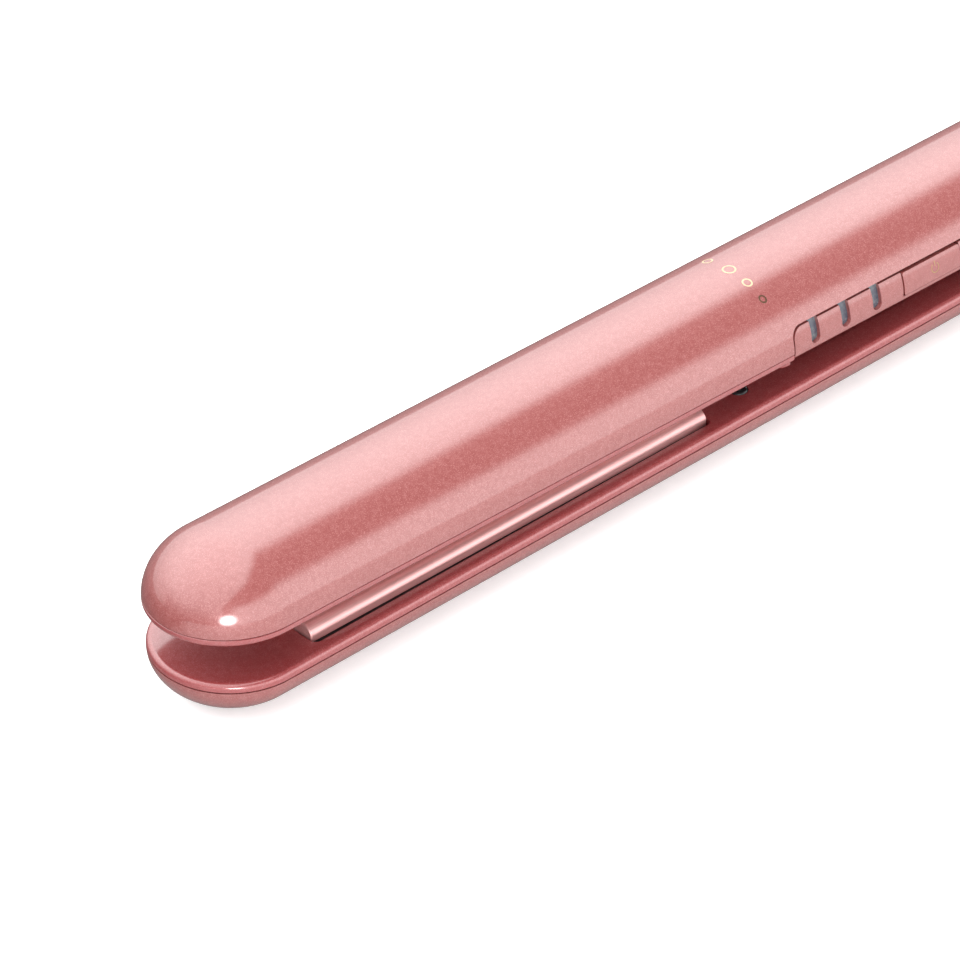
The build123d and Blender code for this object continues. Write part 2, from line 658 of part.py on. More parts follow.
def rear_cap():
    """Round end of the lower arm that closes it and holds the swivel inlet."""
    cap = half_barrel(LOWER_DOME, 0, LOWER_END, True) + cover_plate(LOWER_END, True)
    cap &= block(LOWER_SHELL_END, LOWER_END + 1, -LARGE, LARGE, -LARGE, LARGE)
    hollow = half_barrel(LOWER_DOME, WALL, GROOVE_STATION - 1, False)
    cap -= hollow & block(LOWER_SHELL_END, LOWER_END, -LARGE, LARGE, 0, LARGE)
    cap -= rod_x(LOWER_SHELL_END, GROOVE_STATION + 1.2, RETAINER_RADIUS + SEAM, 0, GLAND_DEPTH)
    cap -= rod_x(LOWER_SHELL_END, LOWER_END + 1, GLAND_NECK_RADIUS + GLAND_RUNNING, 0, GLAND_DEPTH)
    return cap - resting_cut()


def cord_gland():
    """Swivel inlet: neck in the rear cap, groove for the retainer, flared mouth and the cord's bore."""
    gland = rod_x(GROOVE_STATION - 1.2, LOWER_END + 1, GLAND_NECK_RADIUS, 0, GLAND_DEPTH)
    mouth = Cone(GLAND_FLARE_RADIUS, GLAND_NECK_RADIUS, GLAND_REACH)
    gland += at(LOWER_END + PLATE_CLEARANCE + GLAND_REACH / 2, 0, GLAND_DEPTH) * Rot(0, 90, 0) * mouth
    groove = rod_x(GROOVE_STATION, GROOVE_STATION + 1, LARGE / 4, 0, GLAND_DEPTH)
    gland -= groove - rod_x(GROOVE_STATION - 1, GROOVE_STATION + 2, RETAINER_INNER, 0, GLAND_DEPTH)
    return gland - rod_x(GROOVE_STATION - 3, LOWER_END + 2 * GLAND_REACH, CORD_RADIUS, 0, GLAND_DEPTH)


def gland_retainer():
    """Open clip ring in the gland's groove."""
    ring = rod_x(GROOVE_STATION + 0.05, GROOVE_STATION + 0.95, RETAINER_RADIUS, 0, GLAND_DEPTH)
    ring -= rod_x(GROOVE_STATION - 1, GROOVE_STATION + 2, RETAINER_INNER, 0, GLAND_DEPTH)
    slot = block(GROOVE_STATION - 1, GROOVE_STATION + 2, -1.2, 1.2, GLAND_DEPTH, GLAND_DEPTH + 8)
    return ring - slot


def heating_unit(name, frame):
    """The five pieces that float together in one arm."""
    return {
        name + "_plate": frame * heating_plate(),
        name + "_heater": frame * heater(),
        name + "_heater_clamp": frame * heater_clamp(),
        name + "_carrier": frame * plate_carrier(),
        name + "_thermal_fuse": frame * fuse_body(PLATE_MIDDLE + FUSE_OFFSET[0], FUSE_OFFSET[1]),
    }


def build():
    spring_top = unit_z(CARRIER_BOTTOM) + 0.1
    lead_start = PLATE_REAR + 3.5
    nodes = {
        "lower_outer_shell": LOWER_ARM * lower_outer_shell(),
        "lower_inner_cover": LOWER_ARM * lower_inner_cover(),
        "lower_screws": LOWER_ARM * cover_screws(LOWER_SCREW_FACES),
        "inner_bumpers": LOWER_ARM * inner_bumpers(),
        "rear_cap": LOWER_ARM * rear_cap(),
        "hinge_bushes": LOWER_ARM * hinge_bushes(),
        "hinge_spring": hinge_spring(),
        "lower_plate_springs": LOWER_ARM * plate_springs(spring_top, LOWER_DOME - WALL - 0.2),
        "lower_leads": LOWER_ARM * leads(lead_start, LOWER_SHELL_END - 4, 2.2),
        "cord_gland": LOWER_ARM * cord_gland(),
        "gland_retainer": LOWER_ARM * gland_retainer(),
        "upper_outer_shell": UPPER_ARM * upper_outer_shell(),
        "upper_inner_cover": UPPER_ARM * upper_inner_cover(),
        "upper_screws": UPPER_ARM * cover_screws(UPPER_SCREW_FACES),
        "control_strip": UPPER_ARM * control_strip(),
        "light_guide": UPPER_ARM * light_guide(),
        "power_button": UPPER_ARM * power_button(),
        "switch_plunger": UPPER_ARM * switch_plunger(),
        "power_switch": UPPER_ARM * power_switch(),
        "circuit_board": UPPER_ARM * circuit_board(),
        "indicator_leds": UPPER_ARM * indicator_leds(),
        "control_chip": UPPER_ARM * control_chip(),
        "hinge_pin": UPPER_ARM * hinge_pin(),
        "hinge_caps": UPPER_ARM * hinge_caps(),
        "upper_plate_springs": UPPER_ARM * plate_springs(spring_top, LOWER_DOME - WALL - 0.1),
        "upper_leads": UPPER_ARM * leads(lead_start, HINGE_STATION - 6, 3.2),
        "upper_thermistor": UPPER_ARM * fuse_body(PLATE_MIDDLE - FUSE_OFFSET[0], -FUSE_OFFSET[1]),
    }
    nodes.update(heating_unit("lower", LOWER_UNIT))
    nodes.update(heating_unit("upper", UPPER_ARM))
    return nodes


os.makedirs("parts", exist_ok=True)
for node_name, shape in build().items():
    export_step(shape, "parts/" + node_name + ".step")
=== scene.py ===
import json
import math

import bmesh
import bpy
from mathutils import Matrix, Vector


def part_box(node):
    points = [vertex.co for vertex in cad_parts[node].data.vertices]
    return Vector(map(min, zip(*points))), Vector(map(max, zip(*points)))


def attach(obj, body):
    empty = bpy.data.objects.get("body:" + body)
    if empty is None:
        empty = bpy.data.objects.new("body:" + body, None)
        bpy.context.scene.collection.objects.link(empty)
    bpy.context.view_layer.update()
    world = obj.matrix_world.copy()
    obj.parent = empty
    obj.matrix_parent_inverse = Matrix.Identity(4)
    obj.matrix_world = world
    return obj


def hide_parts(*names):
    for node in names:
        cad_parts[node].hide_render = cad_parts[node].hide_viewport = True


# Hair straightener in metres, in the CAD's frame: +X from the noses to the handle end, controls on -Y, +Z up.
# Each arm is drawn in its own frame: z = 0 is its parting plane and +z goes into its domed shell.

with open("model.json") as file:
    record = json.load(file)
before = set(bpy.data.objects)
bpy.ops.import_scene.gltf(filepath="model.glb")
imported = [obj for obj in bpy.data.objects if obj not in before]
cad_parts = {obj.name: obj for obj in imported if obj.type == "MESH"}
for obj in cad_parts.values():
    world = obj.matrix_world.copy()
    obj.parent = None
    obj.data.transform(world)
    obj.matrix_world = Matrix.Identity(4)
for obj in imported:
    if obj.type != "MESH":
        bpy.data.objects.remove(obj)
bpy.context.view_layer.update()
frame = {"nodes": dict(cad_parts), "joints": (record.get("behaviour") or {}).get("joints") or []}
MM = 0.001

# Sizes that come from the frame
joints = {joint["name"]: joint for joint in frame["joints"]}
lower_shell_low, lower_shell_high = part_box("lower_outer_shell")
rear_cap_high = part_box("rear_cap")[1]
plate_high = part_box("lower_plate")[1]
HINGE = Vector(joints["arm_hinge"]["pos_m"])
OPENING = math.asin(joints["upper_plate_float"]["axis"][0])
HALF_WIDTH = lower_shell_high.y
NOSE_TIP = lower_shell_low.x
NOSE_CENTRE = NOSE_TIP + HALF_WIDTH
LOWER_PARTING = lower_shell_high.z
HALF_GAP = HINGE.z - LOWER_PARTING
LOWER_SHELL_END = lower_shell_high.x
LOWER_END = rear_cap_high.x
PLATE_HALF_WIDTH = plate_high.y
PLATE_FRONT = NOSE_TIP + 26.5 * MM
PLATE_LENGTH = 106.0 * MM
PLATE_REAR = PLATE_FRONT + PLATE_LENGTH

# Shells and covers
UPPER_DOME = 13.2 * MM
LOWER_DOME = 10.1 * MM
UPPER_END = NOSE_TIP + 278.0 * MM
WALL = 1.8 * MM
COVER_RISE = 1.8 * MM
COVER_RADIUS = 1.2 * MM
GROOVE = 0.22 * MM
GROOVE_DEPTH = 0.6 * MM
COVER_CHAMFER = 0.08 * MM
UPPER_NOSE_STRETCH = 1.08
REST_CUT = LOWER_DOME - LOWER_PARTING
SEAM = 0.1 * MM
STRIP_GAP = 0.75 * MM
STRIP_ROOM = 2.2 * MM
DOME_TOLERANCE = 0.004

# Plate section and the pocket round it
CAP_HEIGHT = 2.1 * MM
CAP_SIDE = 1.25 * MM
CROWN_WIDTH = 3.2 * MM
PLATE_SETBACK = 0.15 * MM
PLATE_CLEARANCE = 0.3 * MM
PLATE_TILT = math.radians(0.35)
PLATE_CHAMFER = 0.25 * MM
SKIRT_HALF_WIDTH = 10.5 * MM
SKIRT_DEPTH = 5.2 * MM
CHANNEL_HALF_WIDTH = 7.0 * MM
CHANNEL_DEPTH = 1.5 * MM
CHANNEL_SETBACK = 2.0 * MM
TROUGH_HALF_WIDTH = 14.6 * MM
TROUGH_DEPTH = 1.1 * MM
TROUGH_END = 9.0 * MM

# Hinge
KNUCKLE_RADIUS = 3.8 * MM
KNUCKLE_CLEARANCE = 0.3 * MM
LOWER_KNUCKLE = (5.0 * MM, 9.0 * MM)
UPPER_EAR = (9.3 * MM, 13.3 * MM)
HINGE_CAP = 1.2 * MM
BUSH_RADIUS = 2.3 * MM
PIN_RADIUS = 1.5 * MM
SPRING_ROOM_RADIUS = 3.2 * MM
SPRING_ROOM_LENGTH = 9.0 * MM

# Handle
LAND_START = NOSE_TIP + 148.0 * MM
LAND_END = NOSE_TIP + 251.0 * MM
LAND_RISE = 1.5 * MM
LAND_INSET = 1.1 * MM
LAND_CORNER = 4.0 * MM
LAND_RADIUS = 0.8 * MM
SCREW_PLACES = (NOSE_TIP + 139.0 * MM, NOSE_TIP + 238.0 * MM)
SCREW_HOLE = 2.6 * MM
SCREW_SHANK_HOLE = 1.3 * MM
SCREW_SEAT = 1.0 * MM
BUMPER_X = NOSE_TIP + 144.2 * MM
BUMPER_OFFSET = 8.9 * MM
BUMPER_RADIUS = 2.0 * MM
BUMPER_PROUD = 0.4 * MM
BUMPER_EDGE = 0.8 * MM
BUMPER_SEAT = -0.3 * MM
DIMPLE_RADIUS = 0.5 * MM
DIMPLE_DEPTH = 0.15 * MM

# Controls
STRIP_START = NOSE_TIP + 153.0 * MM
STRIP_END = NOSE_TIP + 214.0 * MM
STRIP_TOP = 4.9 * MM
STRIP_RECESS = 0.5 * MM
STRIP_THICKNESS = 1.7 * MM
STRIP_CORNER = 2.5 * MM
STRIP_EDGE = 0.28 * MM
WINDOW_RECESS = 0.9 * MM
GUIDE_BACKING = 0.8 * MM
SLOTS = tuple(NOSE_TIP + station * MM for station in (158.8, 167.4, 176.2))
SLOT_WIDTH = 2.4 * MM
SLOT_BOTTOM = -0.1 * MM
BUTTON_START = NOSE_TIP + 183.6 * MM
BUTTON_LENGTH = 16.6 * MM
BUTTON_BOTTOM = -0.3 * MM
BUTTON_GAP = 0.25 * MM
BUTTON_RECESS = 0.3 * MM
SYMBOL_X = NOSE_TIP + 192.7 * MM
SYMBOL_Z = 2.6 * MM
SYMBOL_RADIUS = 1.0 * MM
SYMBOL_LINE = 0.2 * MM
SYMBOL_STEPS = 32
SYMBOL_START = 125
SYMBOL_SWEEP = 290
STROKE_STEPS = 6
STROKE_FOOT = 0.35
STROKE_REACH = 1.1
POST_RADIUS = 1.6 * MM
POST_Z = 2.2 * MM
POST_SPAN = (-14.9 * MM, -13.5 * MM)
PRINT_LIFT = 0.015 * MM
RING_ROW_X = NOSE_TIP + 150.0 * MM
RING_LINE = 0.36 * MM
LIT_RINGS = [(0.5 * MM, 1.3 * MM), (-4.7 * MM, 0.95 * MM), (6.6 * MM, 0.95 * MM)]
# This ring is drawn with a darker copy of the foil colour: painted shade, not a different print.
PAINTED_SHADE_RING = [(-9.2 * MM, 0.7 * MM)]
RING_RADIUS_NAME = "ring_radius"

# Swivel inlet
GLAND_Z = 4.15 * MM
GLAND_NECK = 3.9 * MM
GLAND_FLARE = 4.7 * MM
GLAND_REACH = 4.5 * MM
CORD_RADIUS = 3.0 * MM
RETAINER_ROOM = 4.5 * MM
RETAINER_BORE = 3.4 * MM
GROOVE_WIDTH = 1.0 * MM
GLAND_TAIL = 1.2 * MM
GLAND_LIP = 0.3 * MM
GROOVE_X = NOSE_TIP + 276.0 * MM

# Resolution
ROUND_STEPS = 96
ARC_STEPS = 40
FILLET_STEPS = 10
FAR = 60.0 * MM

LOWER_ARM = Matrix.Translation((0, 0, LOWER_PARTING)) @ Matrix.Rotation(math.pi, 4, "X")
OPEN_ARM = Matrix.Translation(HINGE) @ Matrix.Rotation(OPENING, 4, "Y") @ Matrix.Translation(-HINGE)
UPPER_ARM = OPEN_ARM @ Matrix.Translation((0, 0, LOWER_PARTING + 2 * HALF_GAP))
PIVOT = Vector((PLATE_REAR, 0, HINGE.z))
TILT = Matrix.Translation(PIVOT) @ Matrix.Rotation(PLATE_TILT, 4, "Y") @ Matrix.Translation(-PIVOT)


# ------------------------------ mesh helpers


def link_object(name, data):
    """New object in the scene."""
    obj = bpy.data.objects.new(name, data)
    bpy.context.scene.collection.objects.link(obj)
    return obj


def mesh_object(name, vertices, faces):
    """Closed mesh object with merged doubles and outward normals."""
    mesh = bpy.data.meshes.new(name)
    mesh.from_pydata(vertices, [], faces)
    work = bmesh.new()
    work.from_mesh(mesh)
    bmesh.ops.remove_doubles(work, verts=work.verts, dist=1e-7)
    bmesh.ops.dissolve_degenerate(work, edges=work.edges, dist=1e-7)
    bmesh.ops.recalc_face_normals(work, faces=work.faces)
    work.to_mesh(mesh)
    work.free()
    return link_object(name, mesh)


def arc(centre_a, centre_b, radius_a, radius_b, start, end, steps):
    """Points of an elliptical arc in a plane, angles in degrees."""
    points = []
    for step in range(steps + 1):
        angle = math.radians(start + (end - start) * step / steps)
        points.append((centre_a + radius_a * math.cos(angle), centre_b + radius_b * math.sin(angle)))
    return points


def arm_outline(rear, round_tail, stretch):
    """Spine point and outward direction of each sample round an arm, with a stretched nose."""
    rear_centre = rear - HALF_WIDTH if round_tail else rear
    samples = [(rear_centre, 0.0, 1.0)]
    for step in range(ROUND_STEPS + 1):
        angle = math.pi / 2 + math.pi * step / ROUND_STEPS
        samples.append((NOSE_CENTRE, stretch * math.cos(angle), math.sin(angle)))
    samples.append((rear_centre, 0.0, -1.0))
    if round_tail:
        for step in range(1, ROUND_STEPS):
            angle = -math.pi / 2 + math.pi * step / ROUND_STEPS
            samples.append((rear_centre, math.cos(angle), math.sin(angle)))
    return samples


def sweep_round_arm(name, chain, rear, round_tail, stretch=1.0):
    """Body whose half section, a chain of (distance from the spine, height), follows an arm's outline."""
    samples = arm_outline(rear, round_tail, stretch)
    count = len(chain)
    vertices = [(x + nx * d, ny * d, z) for x, nx, ny in samples for d, z in chain]
    faces = []
    spans = len(samples) if round_tail else len(samples) - 1
    for i in range(spans):
        after = (i + 1) % len(samples)
        for j in range(count - 1):
            faces.append((i * count + j, i * count + j + 1, after * count + j + 1, after * count + j))
    if not round_tail:
        for i in (0, len(samples) - 1):
            for j in range(count // 2 - 1):
                partner = count - 1 - j
                faces.append((i * count + j, i * count + j + 1, i * count + partner - 1, i * count + partner))
            if count % 2:
                middle = count // 2
                faces.append((i * count + middle - 1, i * count + middle, i * count + middle + 1))
    return mesh_object(name, vertices, faces)


def prism(name, outline, low, high):
    """Straight prism along Z over a closed outline of (x, y)."""
    count = len(outline)
    vertices = [(x, y, z) for z in (low, high) for x, y in outline]
    faces = [tuple(range(count)), tuple(range(2 * count - 1, count - 1, -1))]
    for i in range(count):
        after = (i + 1) % count
        faces.append((i, after, count + after, count + i))
    return mesh_object(name, vertices, faces)


def side_prism(name, outline, y_low, y_high):
    """Straight prism along Y over a closed outline of (x, z)."""
    obj = prism(name, outline, -y_high, -y_low)
    obj.data.transform(Matrix.Rotation(math.pi / 2, 4, "X"))
    return obj


def slab(name, x_low, x_high, y_low, y_high, z_low, z_high):
    """Plain box, used as a tool."""
    return prism(name, [(x_low, y_low), (x_high, y_low), (x_high, y_high), (x_low, y_high)], z_low, z_high)


def bar_y(name, y_low, y_high, radius, x, z, steps=48):
    """Round bar along Y."""
    outline = arc(x, z, radius, radius, 0, 360, steps)[:-1]
    return side_prism(name, outline, y_low, y_high)


def bar_z(name, z_low, z_high, radius, x, y, steps=48):
    """Round bar along Z."""
    return prism(name, arc(x, y, radius, radius, 0, 360, steps)[:-1], z_low, z_high)


def lathe(name, chain, closed, steps=64):
    """Body turned about Z from a chain of (radius, height)."""
    count = len(chain)
    vertices = []
    for step in range(steps):
        angle = 2 * math.pi * step / steps
        vertices += [(r * math.cos(angle), r * math.sin(angle), z) for r, z in chain]
    faces = []
    for step in range(steps):
        after = (step + 1) % steps
        for j in range(count if closed else count - 1):
            up = (j + 1) % count
            faces.append((step * count + j, step * count + up, after * count + up, after * count + j))
    return mesh_object(name, vertices, faces)


def bake(obj):
    """The object with its modifiers turned into plain mesh."""
    evaluated = obj.evaluated_get(bpy.context.evaluated_depsgraph_get())
    mesh = bpy.data.meshes.new_from_object(evaluated)
    obj.modifiers.clear()
    obj.data = mesh
    return obj


def combine(obj, tools, operation):
    """Cuts, joins or intersects an object with each tool in turn and removes the tools."""
    for tool in tools:
        modifier = obj.modifiers.new(operation.lower(), "BOOLEAN")
        modifier.operation = operation
        modifier.solver = "EXACT"
        modifier.object = tool
    bpy.context.view_layer.update()
    bake(obj)
    for tool in tools:
        bpy.data.objects.remove(tool)
    return obj


def soften(obj, angle=32.0):
    """Smooth shading with crisp edges, large faces keeping their own direction."""
    obj.data.shade_smooth()
    obj.data.set_sharp_from_angle(angle=math.radians(angle))
    modifier = obj.modifiers.new("weighted", "WEIGHTED_NORMAL")
    modifier.keep_sharp = True
    modifier.weight = 60
    bpy.context.view_layer.update()
    return bake(obj)


def shade_dome(obj, dome, rear_centre, stretch=1.0):
    """Exact dome normals on every face of the outer dome, so that cuts leave no trace in the reflections."""
    mesh = obj.data
    mesh.shade_smooth()
    normals = [None] * len(mesh.loops)
    for face in mesh.polygons:
        flat = face.normal.copy()
        for loop_index in face.loop_indices:
            point = mesh.vertices[mesh.loops[loop_index].vertex_index].co
            spine = min(max(point.x, NOSE_CENTRE), rear_centre)
            squeeze = stretch if point.x < NOSE_CENTRE else 1.0
            spread = Vector(((point.x - spine) / squeeze, point.y, 0)) / HALF_WIDTH
            exact = Vector((spread.x / squeeze / HALF_WIDTH, spread.y / HALF_WIDTH, point.z / dome**2))
            on_dome = abs(spread.length**2 + (point.z / dome) ** 2 - 1) < DOME_TOLERANCE
            exact = exact.normalized() if exact.length else flat
            keep = on_dome and exact.dot(flat) > 0.9
            normals[loop_index] = exact if keep else flat
    mesh.normals_split_custom_set([tuple(n) for n in normals])
    return obj


def finish_piece(obj, arm, body, material, *nodes):
    """Puts a piece in the row frame, gives it its finish and hangs it on its body in place of CAD nodes."""
    obj.data.transform(arm)
    obj.data.materials.clear()
    obj.data.materials.append(material)
    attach(obj, body)
    if nodes:
        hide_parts(*nodes)
    return obj


# ------------------------------ shells and covers


def dome_chain(dome):
    """Half section of a domed shell from the outer top over the rim to the inner top."""
    outer = [(x, z) for x, z in arc(0, 0, HALF_WIDTH, dome, 90, 0, ARC_STEPS)]
    outer = [(x, z) for x, z in outer if z > GROOVE]
    outer.append((HALF_WIDTH * math.sqrt(1 - (GROOVE / dome) ** 2), GROOVE))
    outer += [(HALF_WIDTH - GROOVE_DEPTH, GROOVE), (HALF_WIDTH - GROOVE_DEPTH, 0)]
    inner = arc(0, 0, HALF_WIDTH - WALL, dome - WALL, 0, 90, len(outer) - 1)
    return outer + inner


def cover_rim():
    """Rounded rim of an inner cover."""
    x, z = HALF_WIDTH - COVER_RADIUS, COVER_RADIUS - COVER_RISE
    return arc(x, z, COVER_RADIUS, COVER_RADIUS, 0, -90, FILLET_STEPS)


def cover_chain():
    """Half section of an inner cover: flat back, narrow groove, upright edge, round rim and flat face."""
    chain = [(0, 0), (HALF_WIDTH - COVER_CHAMFER, 0), (HALF_WIDTH, -COVER_CHAMFER)]
    return chain + cover_rim() + [(0, -COVER_RISE)]


def rounded_rectangle(x_low, x_high, y_low, y_high, radius):
    """Closed outline of a rectangle with round corners."""
    left, right, low, high = x_low + radius, x_high - radius, y_low + radius, y_high - radius
    points = []
    for quarter, (x, y) in enumerate(((right, high), (left, high), (left, low), (right, low))):
        points += arc(x, y, radius, radius, 90 * quarter, 90 * quarter + 90, FILLET_STEPS)
    return points


def strip_outline(gap):
    """Outline of the control strip seen from the side, with rounded upper corners."""
    low = -COVER_RISE - LAND_RISE
    start, end, top = STRIP_START - gap, STRIP_END + gap, STRIP_TOP + gap
    points = [(start, low), (end, low)]
    points += arc(end - STRIP_CORNER, top - STRIP_CORNER, STRIP_CORNER, STRIP_CORNER, 0, 90, FILLET_STEPS)
    points += arc(start + STRIP_CORNER, top - STRIP_CORNER, STRIP_CORNER, STRIP_CORNER, 90, 180, FILLET_STEPS)
    return points


def strip_tool():
    """Opening for the control strip in the upper shell and cover."""
    depth = -HALF_WIDTH + STRIP_RECESS + STRIP_THICKNESS + STRIP_ROOM
    return side_prism("strip_tool", strip_outline(STRIP_GAP), -FAR, depth)


def upper_shell(material):
    """Painted upper dome with the opening for the control strip."""
    obj = sweep_round_arm("upper_shell_visual", dome_chain(UPPER_DOME), UPPER_END, True, UPPER_NOSE_STRETCH)
    combine(obj, [strip_tool()], "DIFFERENCE")
    shade_dome(obj, UPPER_DOME, UPPER_END - HALF_WIDTH, UPPER_NOSE_STRETCH)
    return finish_piece(obj, UPPER_ARM, "upper_arm", material, "upper_outer_shell")


def rest_tool():
    """What is left off the lower dome so that it rests flat."""
    return slab("rest_tool", -1, 1, -FAR, FAR, LOWER_DOME - REST_CUT, FAR)


def lower_shell(material):
    """Painted lower dome with its flat rest."""
    obj = sweep_round_arm("lower_shell_visual", dome_chain(LOWER_DOME), LOWER_SHELL_END, False)
    combine(obj, [rest_tool()], "DIFFERENCE")
    shade_dome(obj, LOWER_DOME, LOWER_SHELL_END)
    return finish_piece(obj, LOWER_ARM, "lower_arm", material, "lower_outer_shell")


def pocket_tools():
    """Tools for the plate's pocket and for the shallow troughs with slender ends."""
    middle = (PLATE_FRONT + PLATE_REAR) / 2
    half_length = PLATE_LENGTH / 2 + PLATE_CLEARANCE
    half_width = PLATE_HALF_WIDTH + PLATE_CLEARANCE
    through = slab("pocket", middle - half_length, middle + half_length, -half_width, half_width, -FAR, FAR)
    bow = TROUGH_HALF_WIDTH - half_width
    near_end = middle - half_length + TROUGH_END
    far_end = middle + half_length - TROUGH_END
    corners = ((far_end, half_width), (near_end, half_width), (near_end, -half_width), (far_end, -half_width))
    outline = []
    for quarter, (x, y) in enumerate(corners):
        outline += arc(x, y, TROUGH_END, bow, 90 * quarter, 90 * quarter + 90, ARC_STEPS)
    return [prism("trough", outline, -FAR, TROUGH_DEPTH - COVER_RISE), through]


def screw_tools(faces):
    """Counterbored screw holes; each outer face has its own height."""
    tools = []
    for x, face in zip(SCREW_PLACES, faces):
        tools.append(bar_z("screw_hole", -FAR, face + SCREW_SEAT, SCREW_HOLE, x, 0))
        tools.append(bar_z("shank_hole", -FAR, FAR, SCREW_SHANK_HOLE, x, 0))
    return tools


def both_sides(span):
    """The same span across the arm on both sides of its middle."""
    return [span, (-span[1], -span[0])]


def knuckle_pieces(span):
    """Pair of hinge knuckles with their feet."""
    pieces = []
    for low, high in both_sides(span):
        pieces.append(bar_y("knuckle", low, high, KNUCKLE_RADIUS, HINGE.x, -HALF_GAP))
        left, right = HINGE.x - KNUCKLE_RADIUS, HINGE.x + KNUCKLE_RADIUS
        pieces.append(slab("foot", left, right, low, high, -HALF_GAP, -COVER_RISE / 2))
    return pieces


def knuckle_bars(name, span, radius, growth):
    """Round bars at a pair of knuckles, each end longer by a growth."""
    middle = (HINGE.x, -HALF_GAP)
    return [bar_y(name, low - growth, high + growth, radius, *middle) for low, high in both_sides(span)]


def knuckle_room(span):
    """Room for the other arm's knuckles."""
    return knuckle_bars("knuckle_room", span, KNUCKLE_RADIUS + KNUCKLE_CLEARANCE, KNUCKLE_CLEARANCE)


def spring_room():
    """Room for the torsion spring and its legs."""
    half = LOWER_KNUCKLE[0]
    coil = bar_y("coil_room", -half, half, SPRING_ROOM_RADIUS, HINGE.x, -HALF_GAP)
    start = HINGE.x - SPRING_ROOM_LENGTH
    legs = slab("leg_room", start, HINGE.x, -half, half, -HALF_GAP, SPRING_ROOM_RADIUS - HALF_GAP)
    return [coil, legs]


def hinge_holes(span, radius):
    """Through holes of a pair of knuckles."""
    return knuckle_bars("hinge_hole", span, radius, MM)


def lower_cover(material):
    """Inner cover of the lower arm with its knuckles, pocket and holes."""
    obj = sweep_round_arm("lower_cover_visual", cover_chain(), LOWER_SHELL_END, False)
    combine(obj, knuckle_pieces(LOWER_KNUCKLE), "UNION")
    tools = pocket_tools() + screw_tools((-COVER_RISE, -COVER_RISE))
    tools += knuckle_room((UPPER_EAR[0], UPPER_EAR[1] + HINGE_CAP)) + spring_room()
    tools += hinge_holes(LOWER_KNUCKLE, BUSH_RADIUS)
    for y in (BUMPER_OFFSET, -BUMPER_OFFSET):
        tools.append(bar_z("bumper_hole", -FAR, BUMPER_SEAT, BUMPER_RADIUS + SEAM / 2, BUMPER_X, y))
    combine(obj, tools, "DIFFERENCE")
    soften(obj)
    return finish_piece(obj, LOWER_ARM, "lower_arm", material, "lower_inner_cover")


def handle_land():
    """Raised land of the upper cover with a rounded edge."""
    half = HALF_WIDTH - LAND_INSET
    rings = [(0, -COVER_RISE / 2)]
    for out, z in arc(0, 0, LAND_RADIUS, LAND_RADIUS, 0, -90, FILLET_STEPS):
        rings.append((LAND_RADIUS - out, -COVER_RISE - LAND_RISE + LAND_RADIUS + z))
    outlines = []
    for inset, z in rings:
        box = (LAND_START + inset, LAND_END - inset, -half + inset, half - inset)
        outlines.append([(x, y, z) for x, y in rounded_rectangle(*box, LAND_CORNER - inset)])
    return loft("handle_land", outlines)


def loft(name, outlines):
    """Closed body through outlines with equal point counts."""
    count = len(outlines[0])
    vertices = [point for outline in outlines for point in outline]
    last = count * (len(outlines) - 1)
    faces = [tuple(range(count)), tuple(range(last + count - 1, last - 1, -1))]
    for ring in range(len(outlines) - 1):
        for i in range(count):
            after = (i + 1) % count
            base = ring * count
            faces.append((base + i, base + after, base + count + after, base + count + i))
    return mesh_object(name, vertices, faces)


def upper_cover(material):
    """Inner cover of the upper arm with its raised land, ears, pocket and holes."""
    obj = sweep_round_arm("upper_cover_visual", cover_chain(), UPPER_END, True, UPPER_NOSE_STRETCH)
    combine(obj, [handle_land()] + knuckle_pieces(UPPER_EAR), "UNION")
    tools = pocket_tools() + screw_tools((-COVER_RISE, -COVER_RISE - LAND_RISE))
    tools += knuckle_room(LOWER_KNUCKLE) + spring_room() + hinge_holes(UPPER_EAR, PIN_RADIUS)
    cap_span = (UPPER_EAR[1], UPPER_EAR[1] + HINGE_CAP + SEAM)
    tools += knuckle_bars("cap_room", cap_span, KNUCKLE_RADIUS + SEAM / 2, 0)
    tools.append(strip_tool())
    combine(obj, tools, "DIFFERENCE")
    soften(obj)
    return finish_piece(obj, UPPER_ARM, "upper_arm", material, "upper_inner_cover")


def rear_cap(material):
    """Round end of the lower arm with the swivel's bore."""
    dome = sweep_round_arm("dome_end", solid_chain(LOWER_DOME), LOWER_END, True)
    front = slab("front_part", -1, LOWER_SHELL_END, -FAR, FAR, -FAR, FAR)
    bore = bar_z("neck_bore", LOWER_SHELL_END - MM, LOWER_END + MM, GLAND_NECK + SEAM / 2, 0, 0)
    clip = bar_z("clip_room", LOWER_SHELL_END - MM, GROOVE_X + GLAND_TAIL, RETAINER_ROOM, 0, 0)
    for tool in (bore, clip):
        tool.data.transform(Matrix.Translation((0, 0, GLAND_Z)) @ Matrix.Rotation(math.pi / 2, 4, "Y"))
    combine(dome, [front, rest_tool(), clip, bore], "DIFFERENCE")
    dome.name = "rear_cap_visual"
    soften(dome, 28.0)
    return finish_piece(dome, LOWER_ARM, "lower_arm", material, "rear_cap")


def solid_chain(dome):
    """Half section of the solid end: dome, groove line and cover edge."""
    outer = arc(0, 0, HALF_WIDTH, dome, 90, 0, ARC_STEPS)
    return outer + cover_rim() + [(0, -COVER_RISE)]


# ------------------------------ plates, bumpers, inlet


def unit_z(depth):
    """Height in an arm's frame of a depth below the plate's face."""
    return depth - HALF_GAP + PLATE_SETBACK


